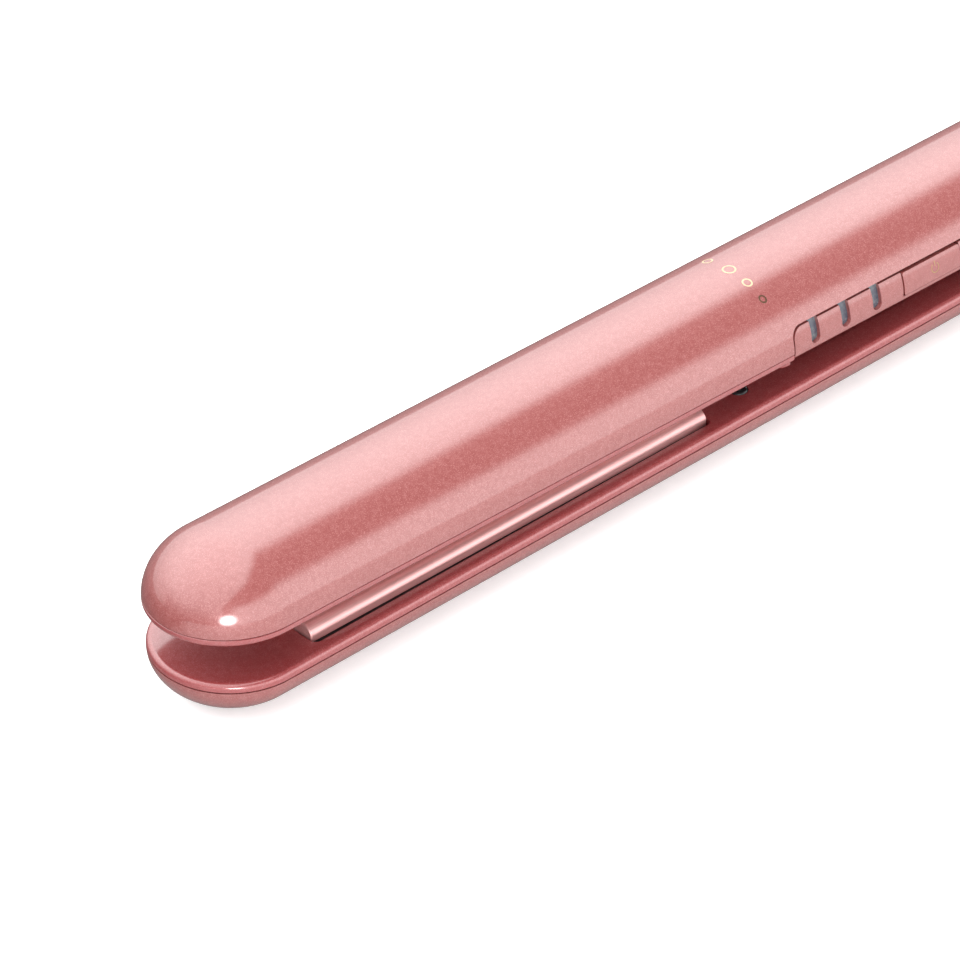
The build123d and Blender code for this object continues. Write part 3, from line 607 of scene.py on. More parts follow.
def plate_section(inset):
    """Closed section of a plate and its skirt, (y, z), drawn inwards by an inset."""
    flat_half = PLATE_HALF_WIDTH - CROWN_WIDTH
    width, height = CROWN_WIDTH - inset, CAP_HEIGHT - inset
    crown, low = unit_z(CAP_HEIGHT), unit_z(CAP_HEIGHT + CAP_SIDE)
    points = [(flat_half + width, low)]
    points += arc(flat_half, crown, width, -height, 0, 90, FILLET_STEPS)
    points += arc(-flat_half, crown, width, -height, 90, 180, FILLET_STEPS)
    points.append((-flat_half - width, low))
    skirt, bottom = SKIRT_HALF_WIDTH - inset, unit_z(SKIRT_DEPTH) - inset
    return points + [(-skirt, low), (-skirt, bottom), (skirt, bottom), (skirt, low)]


def heating_plate(name, arm, body, material, node):
    """Extruded plate with crowned edges and flat ends with a small chamfer."""
    stations = [(PLATE_FRONT, PLATE_CHAMFER), (PLATE_FRONT + PLATE_CHAMFER, 0)]
    stations += [(PLATE_REAR - PLATE_CHAMFER, 0), (PLATE_REAR, PLATE_CHAMFER)]
    obj = loft(name, [[(x, y, z) for y, z in plate_section(inset)] for x, inset in stations])
    start, end = PLATE_FRONT + CHANNEL_SETBACK, PLATE_REAR - CHANNEL_SETBACK
    half = CHANNEL_HALF_WIDTH
    channel = slab("channel", start, end, -half, half, unit_z(CHANNEL_DEPTH), FAR)
    combine(obj, [channel], "DIFFERENCE")
    soften(obj, 30.0)
    return finish_piece(obj, arm, body, material, node)


def inner_bumpers(material):
    """Domed rubber bumpers of the lower cover, with a small moulded dimple."""
    chain = [(0, BUMPER_SEAT), (BUMPER_RADIUS, BUMPER_SEAT)]
    top = -COVER_RISE - BUMPER_PROUD
    edge = BUMPER_EDGE
    chain += arc(BUMPER_RADIUS - edge, top + edge, edge, edge, 0, -90, FILLET_STEPS)
    chain += [(DIMPLE_RADIUS, top), (0.7 * DIMPLE_RADIUS, top + 0.8 * DIMPLE_DEPTH), (0, top + DIMPLE_DEPTH)]
    pieces = []
    for y in (BUMPER_OFFSET, -BUMPER_OFFSET):
        piece = lathe("bumper", chain, False)
        piece.data.transform(Matrix.Translation((BUMPER_X, y, 0)))
        pieces.append(piece)
    obj = join("inner_bumpers_visual", pieces)
    soften(obj, 40.0)
    return finish_piece(obj, LOWER_ARM, "lower_arm", material, "inner_bumpers")


def join(name, objects):
    """One mesh object from several, without merging them."""
    work = bmesh.new()
    for obj in objects:
        work.from_mesh(obj.data)
        bpy.data.objects.remove(obj)
    mesh = bpy.data.meshes.new(name)
    work.to_mesh(mesh)
    work.free()
    return link_object(name, mesh)


def cord_gland(material):
    """Swivel inlet turned about the cord's axis."""
    groove_end = GROOVE_X + GROOVE_WIDTH
    start = GROOVE_X - GLAND_TAIL
    mouth = LOWER_END + PLATE_CLEARANCE
    end = mouth + GLAND_REACH
    bore, lip = CORD_RADIUS, GLAND_LIP
    outer = [(GLAND_NECK, start), (GLAND_NECK, GROOVE_X)]
    outer += [(RETAINER_BORE, GROOVE_X), (RETAINER_BORE, groove_end)]
    outer += [(GLAND_NECK, groove_end), (GLAND_NECK, mouth), (GLAND_FLARE, mouth)]
    outer += [(GLAND_NECK + lip / 2, end - lip), (GLAND_NECK, end), (bore + lip, end), (bore, end - lip)]
    obj = lathe("cord_gland_visual", outer + [(bore, start)], True)
    obj.data.transform(Matrix.Translation((0, 0, GLAND_Z)) @ Matrix.Rotation(math.pi / 2, 4, "Y"))
    soften(obj, 35.0)
    return finish_piece(obj, LOWER_ARM, "gland", material, "cord_gland")


# ------------------------------ node helpers


def add_sockets(group, direction, kind, **defaults):
    """Named sockets of one kind on a node group; underscores stand for spaces."""
    for name, default in defaults.items():
        title = name.replace("_", " ")
        socket = group.interface.new_socket(name=title, in_out=direction, socket_type="NodeSocket" + kind)
        if default is not None:
            socket.default_value = default


def set_slot(tree, slot, value):
    """Gives a node's input a value or joins it to a socket."""
    if isinstance(value, bpy.types.NodeSocket):
        tree.links.new(value, slot)
    else:
        slot.default_value = value


def set_inputs(tree, node, **inputs):
    """Sets a node's named inputs; underscores stand for spaces."""
    for name, value in inputs.items():
        set_slot(tree, node.inputs[name.replace("_", " ")], value)
    return node


def make_node(tree, kind, **inputs):
    """New node of a kind with its inputs set."""
    return set_inputs(tree, tree.nodes.new(kind), **inputs)


def math_node(tree, operation, a, b=0.0):
    """Math node with values or sockets as its two inputs."""
    node = tree.nodes.new("ShaderNodeMath")
    node.operation = operation
    for slot, value in zip(node.inputs, (a, b)):
        set_slot(tree, slot, value)
    return node.outputs[0]


def vector_math(tree, operation, a, b=(0, 0, 0)):
    """Vector math node with values or sockets as its two inputs."""
    node = tree.nodes.new("ShaderNodeVectorMath")
    node.operation = operation
    for slot, value in zip(node.inputs, (a, b)):
        set_slot(tree, slot, value)
    return node.outputs["Value" if operation == "DOT_PRODUCT" else "Vector"]


def mix_colour(tree, factor, a, b):
    """Colour mix with sockets or plain colours."""
    node = tree.nodes.new("ShaderNodeMix")
    node.data_type = "RGBA"
    for key, value in ((0, factor), (6, a), (7, b)):
        set_slot(tree, node.inputs[key], value)
    return node.outputs[2]


# ------------------------------ controls


def arm_side(z, inset):
    """Half width of the upper arm at a height, drawn inwards by an inset."""
    half = HALF_WIDTH - inset
    if z >= 0:
        return half * math.sqrt(max(0.0, 1 - (z / (UPPER_DOME - inset)) ** 2))
    drop = -z - (COVER_RISE - COVER_RADIUS)
    if drop <= 0:
        return half
    return half - COVER_RADIUS + math.sqrt(max(0.0, COVER_RADIUS**2 - drop**2))


def side_skin(name, start, end, low, high, inset, thickness):
    """Curved skin on the near side of the upper arm."""
    steps = ARC_STEPS
    heights = [low + (high - low) * step / steps for step in range(steps + 1)]
    section = [(-arm_side(z, inset), z) for z in heights]
    section += [(-arm_side(z, inset + thickness), z) for z in reversed(heights)]
    return loft(name, [[(x, y, z) for y, z in section] for x in (start, end)])


def slot_tools():
    """Three slots with a round lower end."""
    tools = []
    radius = SLOT_WIDTH / 2
    for x in SLOTS:
        outline = arc(x, SLOT_BOTTOM + radius, radius, radius, 180, 360, 2 * FILLET_STEPS)
        outline += [(x + radius, STRIP_TOP + MM), (x - radius, STRIP_TOP + MM)]
        tools.append(side_prism("slot", outline, -FAR, 0))
    return tools


def round_edges(obj, width):
    """Small round on the crisp edges of a cut piece."""
    modifier = obj.modifiers.new("edge_round", "BEVEL")
    modifier.width = width
    modifier.segments = 3
    modifier.limit_method = "ANGLE"
    modifier.angle_limit = math.radians(50)
    modifier.use_clamp_overlap = True
    bpy.context.view_layer.update()
    return bake(obj)


def light_guide(material):
    """Three window bars on a backing bar behind the strip."""
    first, last = SLOTS[0] - SLOT_WIDTH, SLOTS[-1] + SLOT_WIDTH
    inset = STRIP_RECESS + WINDOW_RECESS
    reach = STRIP_THICKNESS - WINDOW_RECESS + SEAM
    obj = side_skin("light_guide_visual", first, last, -COVER_RISE, STRIP_TOP, inset, reach)
    combine(obj, [join("slots", slot_tools())], "INTERSECT")
    behind = STRIP_RECESS + STRIP_THICKNESS + SEAM / 2
    backing = side_skin("backing", first, last, SLOT_BOTTOM, STRIP_TOP - 3 * SEAM, behind, GUIDE_BACKING)
    combine(obj, [backing], "UNION")
    soften(obj, 25.0)
    return finish_piece(obj, UPPER_ARM, "upper_arm", material, "light_guide")


def control_strip(material):
    """Side trim with its slots and the button's opening."""
    span = (STRIP_START, STRIP_END, -COVER_RISE, STRIP_TOP)
    obj = side_skin("control_strip_visual", *span, STRIP_RECESS, STRIP_THICKNESS)
    combine(obj, [side_prism("strip_shape", strip_outline(0), -FAR, 0)], "INTERSECT")
    button_end = BUTTON_START + BUTTON_LENGTH
    window = [(BUTTON_START, BUTTON_BOTTOM), (button_end, BUTTON_BOTTOM)]
    window += [(button_end, STRIP_TOP + MM), (BUTTON_START, STRIP_TOP + MM)]
    combine(obj, slot_tools() + [side_prism("button_opening", window, -FAR, 0)], "DIFFERENCE")
    round_edges(obj, STRIP_EDGE)
    soften(obj, 25.0)
    return finish_piece(obj, UPPER_ARM, "upper_arm", material, "control_strip")


def power_button(material):
    """Button skin with the post that presses the switch."""
    start, end = BUTTON_START + BUTTON_GAP, BUTTON_START + BUTTON_LENGTH - BUTTON_GAP
    low, high = BUTTON_BOTTOM + BUTTON_GAP, STRIP_TOP - BUTTON_GAP / 2
    obj = side_skin("power_button_visual", start, end, low, high, BUTTON_RECESS, STRIP_THICKNESS)
    shape = rounded_rectangle(start, end, low, high, 0.5 * MM)
    combine(obj, [side_prism("button_shape", shape, -FAR, 0)], "INTERSECT")
    middle = (start + end) / 2
    post = bar_y("post", *POST_SPAN, POST_RADIUS, middle, POST_Z)
    round_edges(obj, STRIP_EDGE)
    combine(obj, [post], "UNION")
    soften(obj, 25.0)
    return finish_piece(obj, UPPER_ARM, "button", material, "power_button")


def ribbon(name, inner, outer, closed):
    """Flat band between two runs of points."""
    count = len(inner)
    vertices = inner + outer
    faces = []
    for i in range(count if closed else count - 1):
        after = (i + 1) % count
        faces.append((i, after, count + after, count + i))
    mesh = bpy.data.meshes.new(name)
    mesh.from_pydata(vertices, [], faces)
    return link_object(name, mesh)


def rings_on_dome():
    """Geometry nodes that draw a flat ring round every point and lay it on the upper dome."""
    tree = bpy.data.node_groups.new("rings_on_dome", "GeometryNodeTree")
    add_sockets(tree, "INPUT", "Geometry", Centres=None)
    add_sockets(tree, "INPUT", "Float", Line_Width=MM, Half_Width=MM, Dome_Height=MM, Lift=MM)
    add_sockets(tree, "INPUT", "Material", Foil=None)
    add_sockets(tree, "OUTPUT", "Geometry", Rings=None)
    given = tree.nodes.new("NodeGroupInput").outputs
    radius = tree.nodes.new("GeometryNodeInputNamedAttribute")
    radius.inputs["Name"].default_value = RING_RADIUS_NAME
    circle = make_node(tree, "GeometryNodeCurvePrimitiveCircle", Resolution=ROUND_STEPS // 2, Radius=1.0)
    placed = make_node(tree, "GeometryNodeInstanceOnPoints", Points=given["Centres"],
                       Instance=circle.outputs["Curve"], Scale=radius.outputs["Attribute"])
    loose = make_node(tree, "GeometryNodeRealizeInstances", Geometry=placed.outputs["Instances"])
    level = make_node(tree, "GeometryNodeSetCurveNormal", Curve=loose.outputs["Geometry"])
    level.mode = "Z_UP"
    half_line = math_node(tree, "MULTIPLY", given["Line Width"], 0.5)
    inner = make_node(tree, "ShaderNodeCombineXYZ", X=math_node(tree, "MULTIPLY", half_line, -1.0))
    outer = make_node(tree, "ShaderNodeCombineXYZ", X=half_line)
    line = make_node(tree, "GeometryNodeCurvePrimitiveLine", Start=inner.outputs[0], End=outer.outputs[0])
    flat = make_node(tree, "GeometryNodeCurveToMesh", Curve=level.outputs["Curve"],
                     Profile_Curve=line.outputs["Curve"])
    position = tree.nodes.new("GeometryNodeInputPosition").outputs[0]
    place = make_node(tree, "ShaderNodeSeparateXYZ", Vector=position)
    across = math_node(tree, "DIVIDE", place.outputs["Y"], given["Half Width"])
    left = math_node(tree, "SUBTRACT", 1.0, math_node(tree, "MULTIPLY", across, across))
    rise = math_node(tree, "MULTIPLY", math_node(tree, "SQRT", left), given["Dome Height"])
    rise = math_node(tree, "ADD", rise, given["Lift"])
    spot = make_node(tree, "ShaderNodeCombineXYZ", X=place.outputs["X"], Y=place.outputs["Y"], Z=rise)
    laid = make_node(tree, "GeometryNodeSetPosition", Geometry=flat.outputs["Mesh"], Position=spot.outputs[0])
    whole = make_node(tree, "GeometryNodeRealizeInstances", Geometry=laid.outputs["Geometry"])
    foil = make_node(tree, "GeometryNodeSetMaterial", Geometry=whole.outputs["Geometry"],
                     Material=given["Foil"])
    make_node(tree, "NodeGroupOutput", Rings=foil.outputs["Geometry"])
    return tree


def foil_rings(name, tree, rings, material):
    """Foil rings, each given by its distance from the crest and its radius, as one plain mesh."""
    mesh = bpy.data.meshes.new(name)
    mesh.from_pydata([(RING_ROW_X, across, 0) for across, _ in rings], [], [])
    radii = mesh.attributes.new(RING_RADIUS_NAME, "FLOAT", "POINT")
    radii.data.foreach_set("value", [radius for _, radius in rings])
    obj = link_object(name, mesh)
    modifier = obj.modifiers.new("rings", "NODES")
    modifier.node_group = tree
    settings = {"Line Width": RING_LINE, "Half Width": HALF_WIDTH, "Dome Height": UPPER_DOME,
                "Lift": PRINT_LIFT, "Foil": material}
    for item in tree.interface.items_tree:
        if item.in_out == "INPUT" and item.name in settings:
            modifier[item.identifier] = settings[item.name]
    bake(obj)
    face_outwards(obj)
    return finish_piece(obj, UPPER_ARM, "upper_arm", material)


def face_outwards(obj):
    """Turns a print's faces away from the arm's middle line."""
    first = obj.data.polygons[0]
    if first.normal.dot(first.center - Vector((first.center.x, 0, 0))) < 0:
        obj.data.flip_normals()
    obj.data.shade_smooth()


def button_point(x, z):
    """Point of the button's face."""
    return (x, -arm_side(z, BUTTON_RECESS) - PRINT_LIFT, z)


def power_symbol(material):
    """Open ring with a stroke, the generic power mark."""
    half = SYMBOL_LINE / 2
    inner, outer = [], []
    for step in range(SYMBOL_STEPS + 1):
        angle = math.radians(SYMBOL_START + SYMBOL_SWEEP * step / SYMBOL_STEPS)
        for points, r in ((inner, SYMBOL_RADIUS - half), (outer, SYMBOL_RADIUS + half)):
            points.append(button_point(SYMBOL_X + r * math.cos(angle), SYMBOL_Z + r * math.sin(angle)))
    ring = ribbon("power_ring", outer, inner, False)
    shares = [STROKE_FOOT + STROKE_REACH * step / STROKE_STEPS for step in range(STROKE_STEPS + 1)]
    heights = [SYMBOL_Z + share * SYMBOL_RADIUS for share in shares]
    left = [button_point(SYMBOL_X - half, z) for z in heights]
    right = [button_point(SYMBOL_X + half, z) for z in heights]
    stroke = ribbon("power_stroke", left, right, False)
    for obj in (ring, stroke):
        face_outwards(obj)
    return finish_piece(join("power_symbol", [ring, stroke]), UPPER_ARM, "button", material)


# ------------------------------ materials


def map_range(tree, value, from_low, from_high, to_low=0.0, to_high=1.0):
    """Smooth step from one range to another."""
    node = tree.nodes.new("ShaderNodeMapRange")
    node.interpolation_type = "SMOOTHSTEP"
    set_inputs(tree, node, Value=value, From_Min=from_low, From_Max=from_high, To_Min=to_low, To_Max=to_high)
    return node.outputs["Result"]


def noise(tree, vector, scale):
    """Noise of a given scale, a value round one half."""
    node = make_node(tree, "ShaderNodeTexNoise", Vector=vector, Scale=scale, Detail=3.0, Roughness=0.55)
    return node.outputs["Fac"]


def object_coordinates(tree, stretch=(1.0, 1.0, 1.0)):
    """Object coordinates, optionally stretched."""
    coordinates = tree.nodes.new("ShaderNodeTexCoord")
    mapping = tree.nodes.new("ShaderNodeMapping")
    mapping.inputs["Scale"].default_value = stretch
    tree.links.new(coordinates.outputs["Object"], mapping.inputs["Vector"])
    return mapping.outputs["Vector"]


# Pattern scales per metre, and the depth of the grain
CLOUD_SCALE = 900.0
WEAR_SCALE = 160.0
BUMP_DEPTH = 0.01 * MM


def flake_group():
    """Pearl paint: fine flakes that tip the base layer's normal and lighten or deepen the pigment."""
    group = bpy.data.node_groups.new("pearl_flakes", "ShaderNodeTree")
    add_sockets(group, "INPUT", "Color", Pigment=(0.3, 0.08, 0.08, 1), Pearl=(0.8, 0.5, 0.5, 1))
    add_sockets(group, "INPUT", "Float", Flake_Density=8500.0, Flake_Tilt=0.17)
    add_sockets(group, "OUTPUT", "Color", Color=None)
    add_sockets(group, "OUTPUT", "Float", Roughness=None)
    add_sockets(group, "OUTPUT", "Vector", Normal=None)
    given = group.nodes.new("NodeGroupInput").outputs
    vector = object_coordinates(group)
    cells = make_node(group, "ShaderNodeTexVoronoi", Vector=vector, Scale=given["Flake Density"])
    tip = vector_math(group, "SUBTRACT", cells.outputs["Color"], (0.5, 0.5, 0.5))
    tip = vector_math(group, "MULTIPLY", tip, given["Flake Tilt"])
    plain = group.nodes.new("ShaderNodeNewGeometry").outputs["Normal"]
    normal = vector_math(group, "NORMALIZE", vector_math(group, "ADD", plain, tip))
    split = make_node(group, "ShaderNodeSeparateColor", Color=cells.outputs["Color"])
    bright = map_range(group, split.outputs["Red"], 0.7, 1.0, 0.0, 0.45)
    cloud = map_range(group, noise(group, vector, CLOUD_SCALE), 0.35, 0.7, 0.0, 0.12)
    mask = math_node(group, "ADD", bright, cloud)
    colour = mix_colour(group, mask, given["Pigment"], given["Pearl"])
    roughness = map_range(group, split.outputs["Green"], 0.0, 1.0, 0.34, 0.5)
    make_node(group, "NodeGroupOutput", Color=colour, Roughness=roughness, Normal=normal)
    return group


def grain_group():
    """Fine grain for moulded and metal surfaces: colour change, roughness change and height."""
    group = bpy.data.node_groups.new("fine_grain", "ShaderNodeTree")
    add_sockets(group, "INPUT", "Vector", Vector=None)
    add_sockets(group, "INPUT", "Color", Light=(0.5, 0.5, 0.5, 1), Dark=(0.4, 0.4, 0.4, 1))
    add_sockets(group, "INPUT", "Float", Scale=2000.0, Smooth_Roughness=0.3, Worn_Roughness=0.5)
    add_sockets(group, "OUTPUT", "Color", Color=None)
    add_sockets(group, "OUTPUT", "Float", Roughness=None, Height=None)
    given = group.nodes.new("NodeGroupInput").outputs
    vector = given["Vector"]
    fine = make_node(group, "ShaderNodeTexNoise", Vector=vector, Scale=given["Scale"], Detail=4.0)
    broad = noise(group, vector, WEAR_SCALE)
    mask = map_range(group, math_node(group, "MULTIPLY", fine.outputs["Fac"], broad), 0.16, 0.36)
    colour = mix_colour(group, mask, given["Dark"], given["Light"])
    worn = given["Worn Roughness"]
    roughness = map_range(group, broad, 0.35, 0.65, given["Smooth Roughness"], worn)
    make_node(group, "NodeGroupOutput", Color=colour, Roughness=roughness, Height=fine.outputs["Fac"])
    return group


def new_material(name):
    """Empty node material with a Principled shader."""
    material = bpy.data.materials.new(name)
    material.use_nodes = True
    tree = material.node_tree
    tree.nodes.clear()
    shader = tree.nodes.new("ShaderNodeBsdfPrincipled")
    output = tree.nodes.new("ShaderNodeOutputMaterial")
    tree.links.new(shader.outputs[0], output.inputs["Surface"])
    return material, tree, shader


def pearl_paint(name, pigment, pearl, coat_roughness):
    """Flake paint under a clear coat."""
    material, tree, shader = new_material(name)
    flakes = tree.nodes.new("ShaderNodeGroup")
    flakes.node_tree = FLAKES
    set_inputs(tree, flakes, Pigment=(*pigment, 1), Pearl=(*pearl, 1))
    for name in ("Roughness", "Normal"):
        tree.links.new(flakes.outputs[name], shader.inputs[name])
    set_inputs(tree, shader, Base_Color=flakes.outputs["Color"], Metallic=0.15)
    set_inputs(tree, shader, Coat_Weight=1.0, Coat_Roughness=coat_roughness, Coat_IOR=1.68)
    return material


def grained(name, light, dark, roughness, metallic=0.0, scale=2500.0, stretch=(1.0, 1.0, 1.0),
            bump=BUMP_DEPTH, coat=0.0):
    """Moulded, drawn or brushed surface with fine grain and bump."""
    material, tree, shader = new_material(name)
    grain = tree.nodes.new("ShaderNodeGroup")
    grain.node_tree = GRAIN
    set_inputs(tree, grain, Vector=object_coordinates(tree, stretch), Scale=scale)
    set_inputs(tree, grain, Light=(*light, 1), Dark=(*dark, 1))
    set_inputs(tree, grain, Smooth_Roughness=roughness, Worn_Roughness=min(1.0, roughness + 0.12))
    relief = make_node(tree, "ShaderNodeBump", Height=grain.outputs["Height"], Distance=bump, Strength=0.6)
    set_inputs(tree, shader, Base_Color=grain.outputs["Color"], Roughness=grain.outputs["Roughness"])
    set_inputs(tree, shader, Normal=relief.outputs["Normal"], Metallic=metallic)
    set_inputs(tree, shader, Coat_Weight=coat, Coat_Roughness=0.08)
    return material


FLAKES = flake_group()
GRAIN = grain_group()
SHELL = pearl_paint("shell_paint", (0.250, 0.055, 0.051), (0.48, 0.20, 0.19), 0.10)
# Cover paint: the shell's rose paint with a deeper, more saturated pigment and pearl, partly the paint and
# partly painted shade for the covers lying between the arms.
COVER_PAINT_AND_SHADE = pearl_paint("cover_paint_and_painted_shade", (0.26, 0.034, 0.036), (0.46, 0.15, 0.15), 0.11)
TRIM = pearl_paint("trim_paint", (0.24, 0.050, 0.045), (0.45, 0.17, 0.16), 0.08)
PLATE = grained("plate_metal", (0.80, 0.47, 0.46), (0.72, 0.39, 0.38), 0.36, 0.8, 3000.0, (0.05, 1, 1))
FOIL = grained("foil", (0.62, 0.50, 0.32), (0.50, 0.39, 0.24), 0.35, 0.3)
# Darker copy of the foil colour for one ring: painted shade.
PAINTED_SHADE_FOIL = grained("foil_painted_shade", (0.10, 0.045, 0.02), (0.06, 0.03, 0.015), 0.35, 0.3)
SYMBOL = grained("symbol_foil", (0.40, 0.27, 0.12), (0.32, 0.20, 0.09), 0.35, 0.5)
WINDOW = grained("window_grey", (0.10, 0.115, 0.125), (0.06, 0.066, 0.09), 0.22, 0.0, 1500.0, coat=0.3)
RUBBER = grained("black_rubber", (0.012, 0.012, 0.013), (0.006, 0.006, 0.007), 0.28, 0.0, 4000.0)
STEEL = grained("steel", (0.62, 0.62, 0.63), (0.45, 0.45, 0.47), 0.28, 1.0, 3000.0)
BRONZE = grained("bronze", (0.62, 0.40, 0.20), (0.45, 0.27, 0.13), 0.40, 1.0, 5000.0)
CAP_METAL = grained("cap_metal", (0.80, 0.45, 0.42), (0.66, 0.34, 0.32), 0.25, 1.0, 2500.0)
FILM = grained("heater_film", (0.62, 0.30, 0.06), (0.48, 0.20, 0.04), 0.35, coat=0.4)
CARRIER = grained("carrier_black", (0.05, 0.05, 0.05), (0.03, 0.03, 0.03), 0.55, bump=3 * BUMP_DEPTH)
NYLON = grained("gland_black", (0.035, 0.035, 0.036), (0.02, 0.02, 0.02), 0.45, bump=2 * BUMP_DEPTH)
BOARD = grained("board_green", (0.04, 0.22, 0.09), (0.03, 0.16, 0.06), 0.35)
PART_BLACK = grained("part_black", (0.03, 0.03, 0.03), (0.02, 0.02, 0.02), 0.4)
LED = grained("led_white", (0.85, 0.82, 0.70), (0.75, 0.70, 0.58), 0.25)
WIRE = grained("wire_white", (0.80, 0.79, 0.75), (0.70, 0.68, 0.64), 0.5)
TIN = grained("fuse_metal", (0.70, 0.70, 0.72), (0.55, 0.55, 0.57), 0.3, 1.0)

NODE_FINISH = {
    "rear_cap": SHELL,
    "control_strip": TRIM,
    "power_button": TRIM,
    "light_guide": WINDOW,
    "inner_bumpers": RUBBER,
    "hinge_bushes": BRONZE,
    "hinge_spring": STEEL,
    "hinge_pin": STEEL,
    "hinge_caps": CAP_METAL,
    "cord_gland": NYLON,
    "gland_retainer": STEEL,
    "switch_plunger": PART_BLACK,
    "power_switch": PART_BLACK,
    "circuit_board": BOARD,
    "indicator_leds": LED,
    "control_chip": PART_BLACK,
    "upper_thermistor": TIN,
}
EACH_ARM_FINISH = {
    "outer_shell": SHELL,
    "inner_cover": COVER_PAINT_AND_SHADE,
    "screws": STEEL,
    "plate_springs": STEEL,
    "leads": WIRE,
    "plate": PLATE,
    "heater": FILM,
    "heater_clamp": STEEL,
    "carrier": CARRIER,
    "thermal_fuse": TIN,
}
for part, material in EACH_ARM_FINISH.items():
    for side in ("lower", "upper"):
        NODE_FINISH[f"{side}_{part}"] = material

for node, material in NODE_FINISH.items():
    frame["nodes"][node].data.materials.clear()
    frame["nodes"][node].data.materials.append(material)

upper_shell(SHELL)
lower_shell(SHELL)
upper_cover(COVER_PAINT_AND_SHADE)
lower_cover(COVER_PAINT_AND_SHADE)
rear_cap(SHELL)
heating_plate("lower_plate_visual", TILT @ LOWER_ARM, "lower_heating_unit", PLATE, "lower_plate")
heating_plate("upper_plate_visual", UPPER_ARM, "upper_heating_unit", PLATE, "upper_plate")
inner_bumpers(RUBBER)
cord_gland(NYLON)
control_strip(TRIM)
power_button(TRIM)
light_guide(WINDOW)
RINGS = rings_on_dome()
foil_rings("foil_rings", RINGS, LIT_RINGS, FOIL)
# The ring in the darker copy of the foil: painted shade.
foil_rings("foil_ring_painted_shade", RINGS, PAINTED_SHADE_RING, PAINTED_SHADE_FOIL)
power_symbol(SYMBOL)


# ------------------------------ floor, light and camera


CAMERA_AZIMUTH = math.radians(-43.0)
CAMERA_ELEVATION = math.radians(36.3)
CAMERA_DISTANCE = 1.7
FIELD_WIDTH = 189.7 * MM
SENSOR = 36.0
AIM_X = -40.0 * MM
AIM_LEFT = 13.2 * MM
AIM_DOWN = 5.9 * MM

FLOOR_REACH = 6.0
FLOOR_THICKNESS = 0.01
FLOOR_BLEND = 0.03
FLOOR_SPECKS = 300.0
FLOOR_GLOW = 0.35
BROAD_STRENGTH = 4.0
LOW_STRENGTH = 3.0
SPARK_STRENGTH = 22.0
AMBIENT_STRENGTH = 0.25
SPARK_AZIMUTH = -37.0
SPARK_HEIGHT = 11.0
SPARK_CORE = 4.0
SPARK_RIM = 13.0


def camera_axes():
    """Directions from the object to the camera, to the right and up in the picture."""
    a, e = CAMERA_AZIMUTH, CAMERA_ELEVATION
    back = Vector((math.sin(a) * math.cos(e), -math.cos(a) * math.cos(e), math.sin(e)))
    right = Vector((math.cos(a), math.sin(a), 0))
    return back, right, back.cross(right)


def add_camera():
    """Camera that looks at the part from above its near side."""
    back, right, up = camera_axes()
    aim = Vector((AIM_X, 0, HINGE.z)) - AIM_LEFT * right - AIM_DOWN * up
    data = bpy.data.cameras.new("camera")
    data.sensor_width = SENSOR
    data.lens = SENSOR * CAMERA_DISTANCE / FIELD_WIDTH
    data.clip_start, data.clip_end = 0.1, 20.0
    camera = link_object("camera", data)
    camera.location = aim + back * CAMERA_DISTANCE
    camera.rotation_mode = "QUATERNION"
    camera.rotation_quaternion = (-back).to_track_quat("-Z", "Y")
    bpy.context.scene.camera = camera


def add_floor():
    """Pale floor that the camera sees evenly lit, and that reflects darker behind the part than in front."""
    material, tree, shader = new_material("floor")
    vector = object_coordinates(tree)
    speck = map_range(tree, noise(tree, vector, FLOOR_SPECKS), 0.3, 0.7)
    pale = mix_colour(tree, speck, (0.88, 0.88, 0.88, 1), (0.92, 0.92, 0.92, 1))
    seen = tree.nodes.new("ShaderNodeLightPath").outputs["Is Camera Ray"]
    split = make_node(tree, "ShaderNodeSeparateXYZ", Vector=vector)
    near = map_range(tree, split.outputs["Y"], -FLOOR_BLEND, FLOOR_BLEND, 1.0, 0.0)
    lit = mix_colour(tree, near, (0.07, 0.055, 0.055, 1), (0.62, 0.60, 0.60, 1))
    colour = mix_colour(tree, seen, lit, pale)
    glow = mix_colour(tree, seen, (0, 0, 0, 1), (1, 1, 1, 1))
    set_inputs(tree, shader, Base_Color=colour, Roughness=0.85)
    set_inputs(tree, shader, Emission_Color=glow, Emission_Strength=FLOOR_GLOW)
    corner = FLOOR_REACH
    outline = [(-corner, -corner), (corner, -corner), (corner, corner), (-corner, corner)]
    obj = prism("floor", outline, -FLOOR_THICKNESS, 0.0)
    obj.data.materials.append(material)


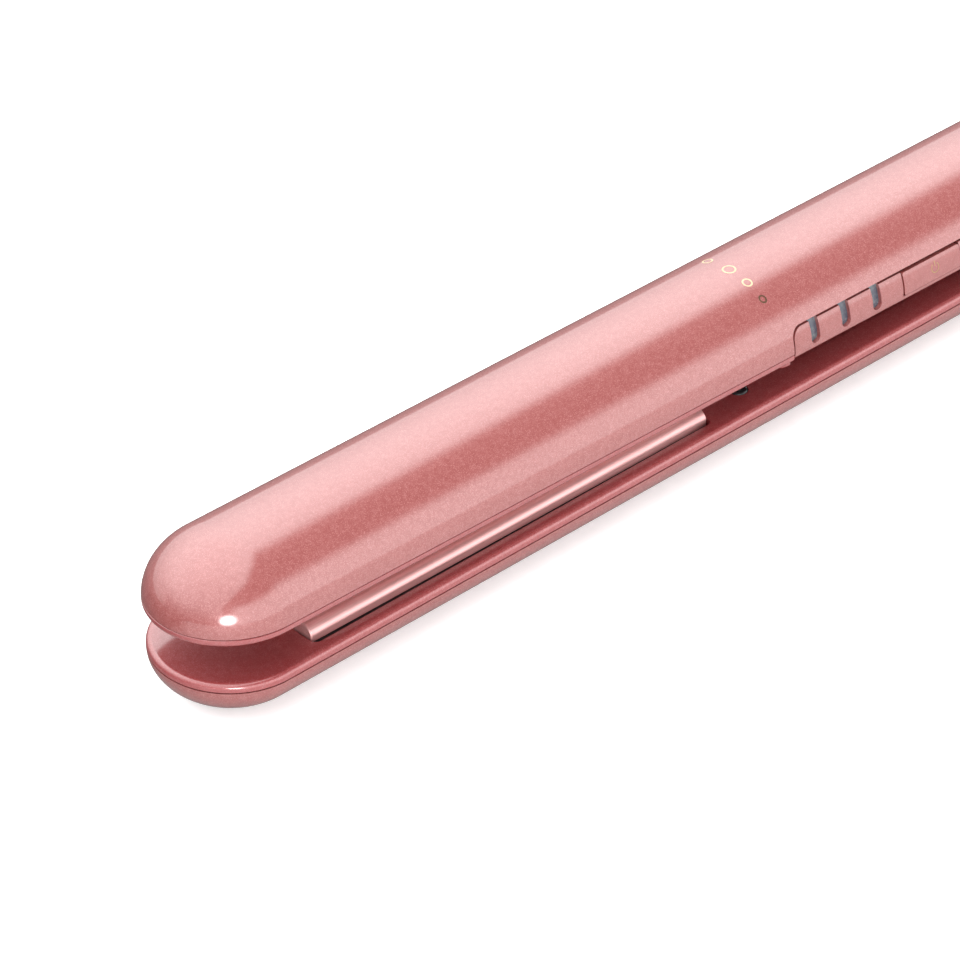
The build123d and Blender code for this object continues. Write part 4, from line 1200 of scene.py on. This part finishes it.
def broad_light(tree, side, depth, height):
    """Light overhead and to the left whose edge draws the dark band along the upper shell."""
    lifted = math_node(tree, "MAXIMUM", height, 0.2)
    across = math_node(tree, "DIVIDE", side, lifted)
    away = math_node(tree, "DIVIDE", depth, lifted)
    pull = math_node(tree, "MINIMUM", math_node(tree, "ADD", away, 0.3), 0.0)
    pull = math_node(tree, "MAXIMUM", math_node(tree, "MULTIPLY", pull, 0.4), -0.45)
    past_edge = math_node(tree, "SUBTRACT", across, math_node(tree, "ADD", pull, 0.42))
    front = map_range(tree, height, -0.1, 0.5, 0.2, 1.0)
    light = map_range(tree, past_edge, -0.10, 0.10, 1.0, 0.0)
    for fade in (
        map_range(tree, height, -0.16, -0.02),
        map_range(tree, depth, -1.0, 0.4, 0.55, 1.0),
        map_range(tree, height, 0.0, 0.75, 0.38, 1.0),
        math_node(tree, "MAXIMUM", front, map_range(tree, depth, -0.5, 0.2)),
    ):
        light = math_node(tree, "MULTIPLY", light, fade)
    return light


def low_light(tree, side, height):
    """Light low on the right."""
    light = map_range(tree, height, 0.45, 0.66, 1.0, 0.0)
    light = math_node(tree, "MULTIPLY", light, map_range(tree, side, 0.05, 0.35))
    return math_node(tree, "MULTIPLY", light, map_range(tree, height, -0.9, -0.2, 0.6, 1.0))


def spark_light(tree, direction):
    """Small round light for the bright spot on the nose."""
    azimuth, height = math.radians(SPARK_AZIMUTH), math.radians(SPARK_HEIGHT)
    spark = Vector((math.sin(azimuth), -math.cos(azimuth), math.tan(height))).normalized()
    rim, core = (math.cos(math.radians(angle)) for angle in (SPARK_RIM, SPARK_CORE))
    return map_range(tree, vector_math(tree, "DOT_PRODUCT", direction, spark), rim, core)


def add_studio():
    """Soft studio sky: a broad light overhead and to the left, a dark gap, and a low light on the right."""
    world = bpy.data.worlds.new("studio")
    bpy.context.scene.world = world
    world.use_nodes = True
    tree = world.node_tree
    tree.nodes.clear()
    direction = tree.nodes.new("ShaderNodeTexCoord").outputs["Generated"]
    back, right, _ = camera_axes()
    forward = Vector((-back.x, -back.y, 0)).normalized()
    side = vector_math(tree, "DOT_PRODUCT", direction, right)
    depth = vector_math(tree, "DOT_PRODUCT", direction, forward)
    height = vector_math(tree, "DOT_PRODUCT", direction, (0, 0, 1))
    lights = (
        (broad_light(tree, side, depth, height), BROAD_STRENGTH),
        (low_light(tree, side, height), LOW_STRENGTH),
        (spark_light(tree, direction), SPARK_STRENGTH),
    )
    total = AMBIENT_STRENGTH
    for light, strength in lights:
        total = math_node(tree, "ADD", math_node(tree, "MULTIPLY", light, strength), total)
    background = make_node(tree, "ShaderNodeBackground", Strength=total)
    output = tree.nodes.new("ShaderNodeOutputWorld")
    tree.links.new(background.outputs[0], output.inputs["Surface"])
    bpy.context.scene.view_settings.view_transform = "Standard"


add_camera()
add_floor()
add_studio()
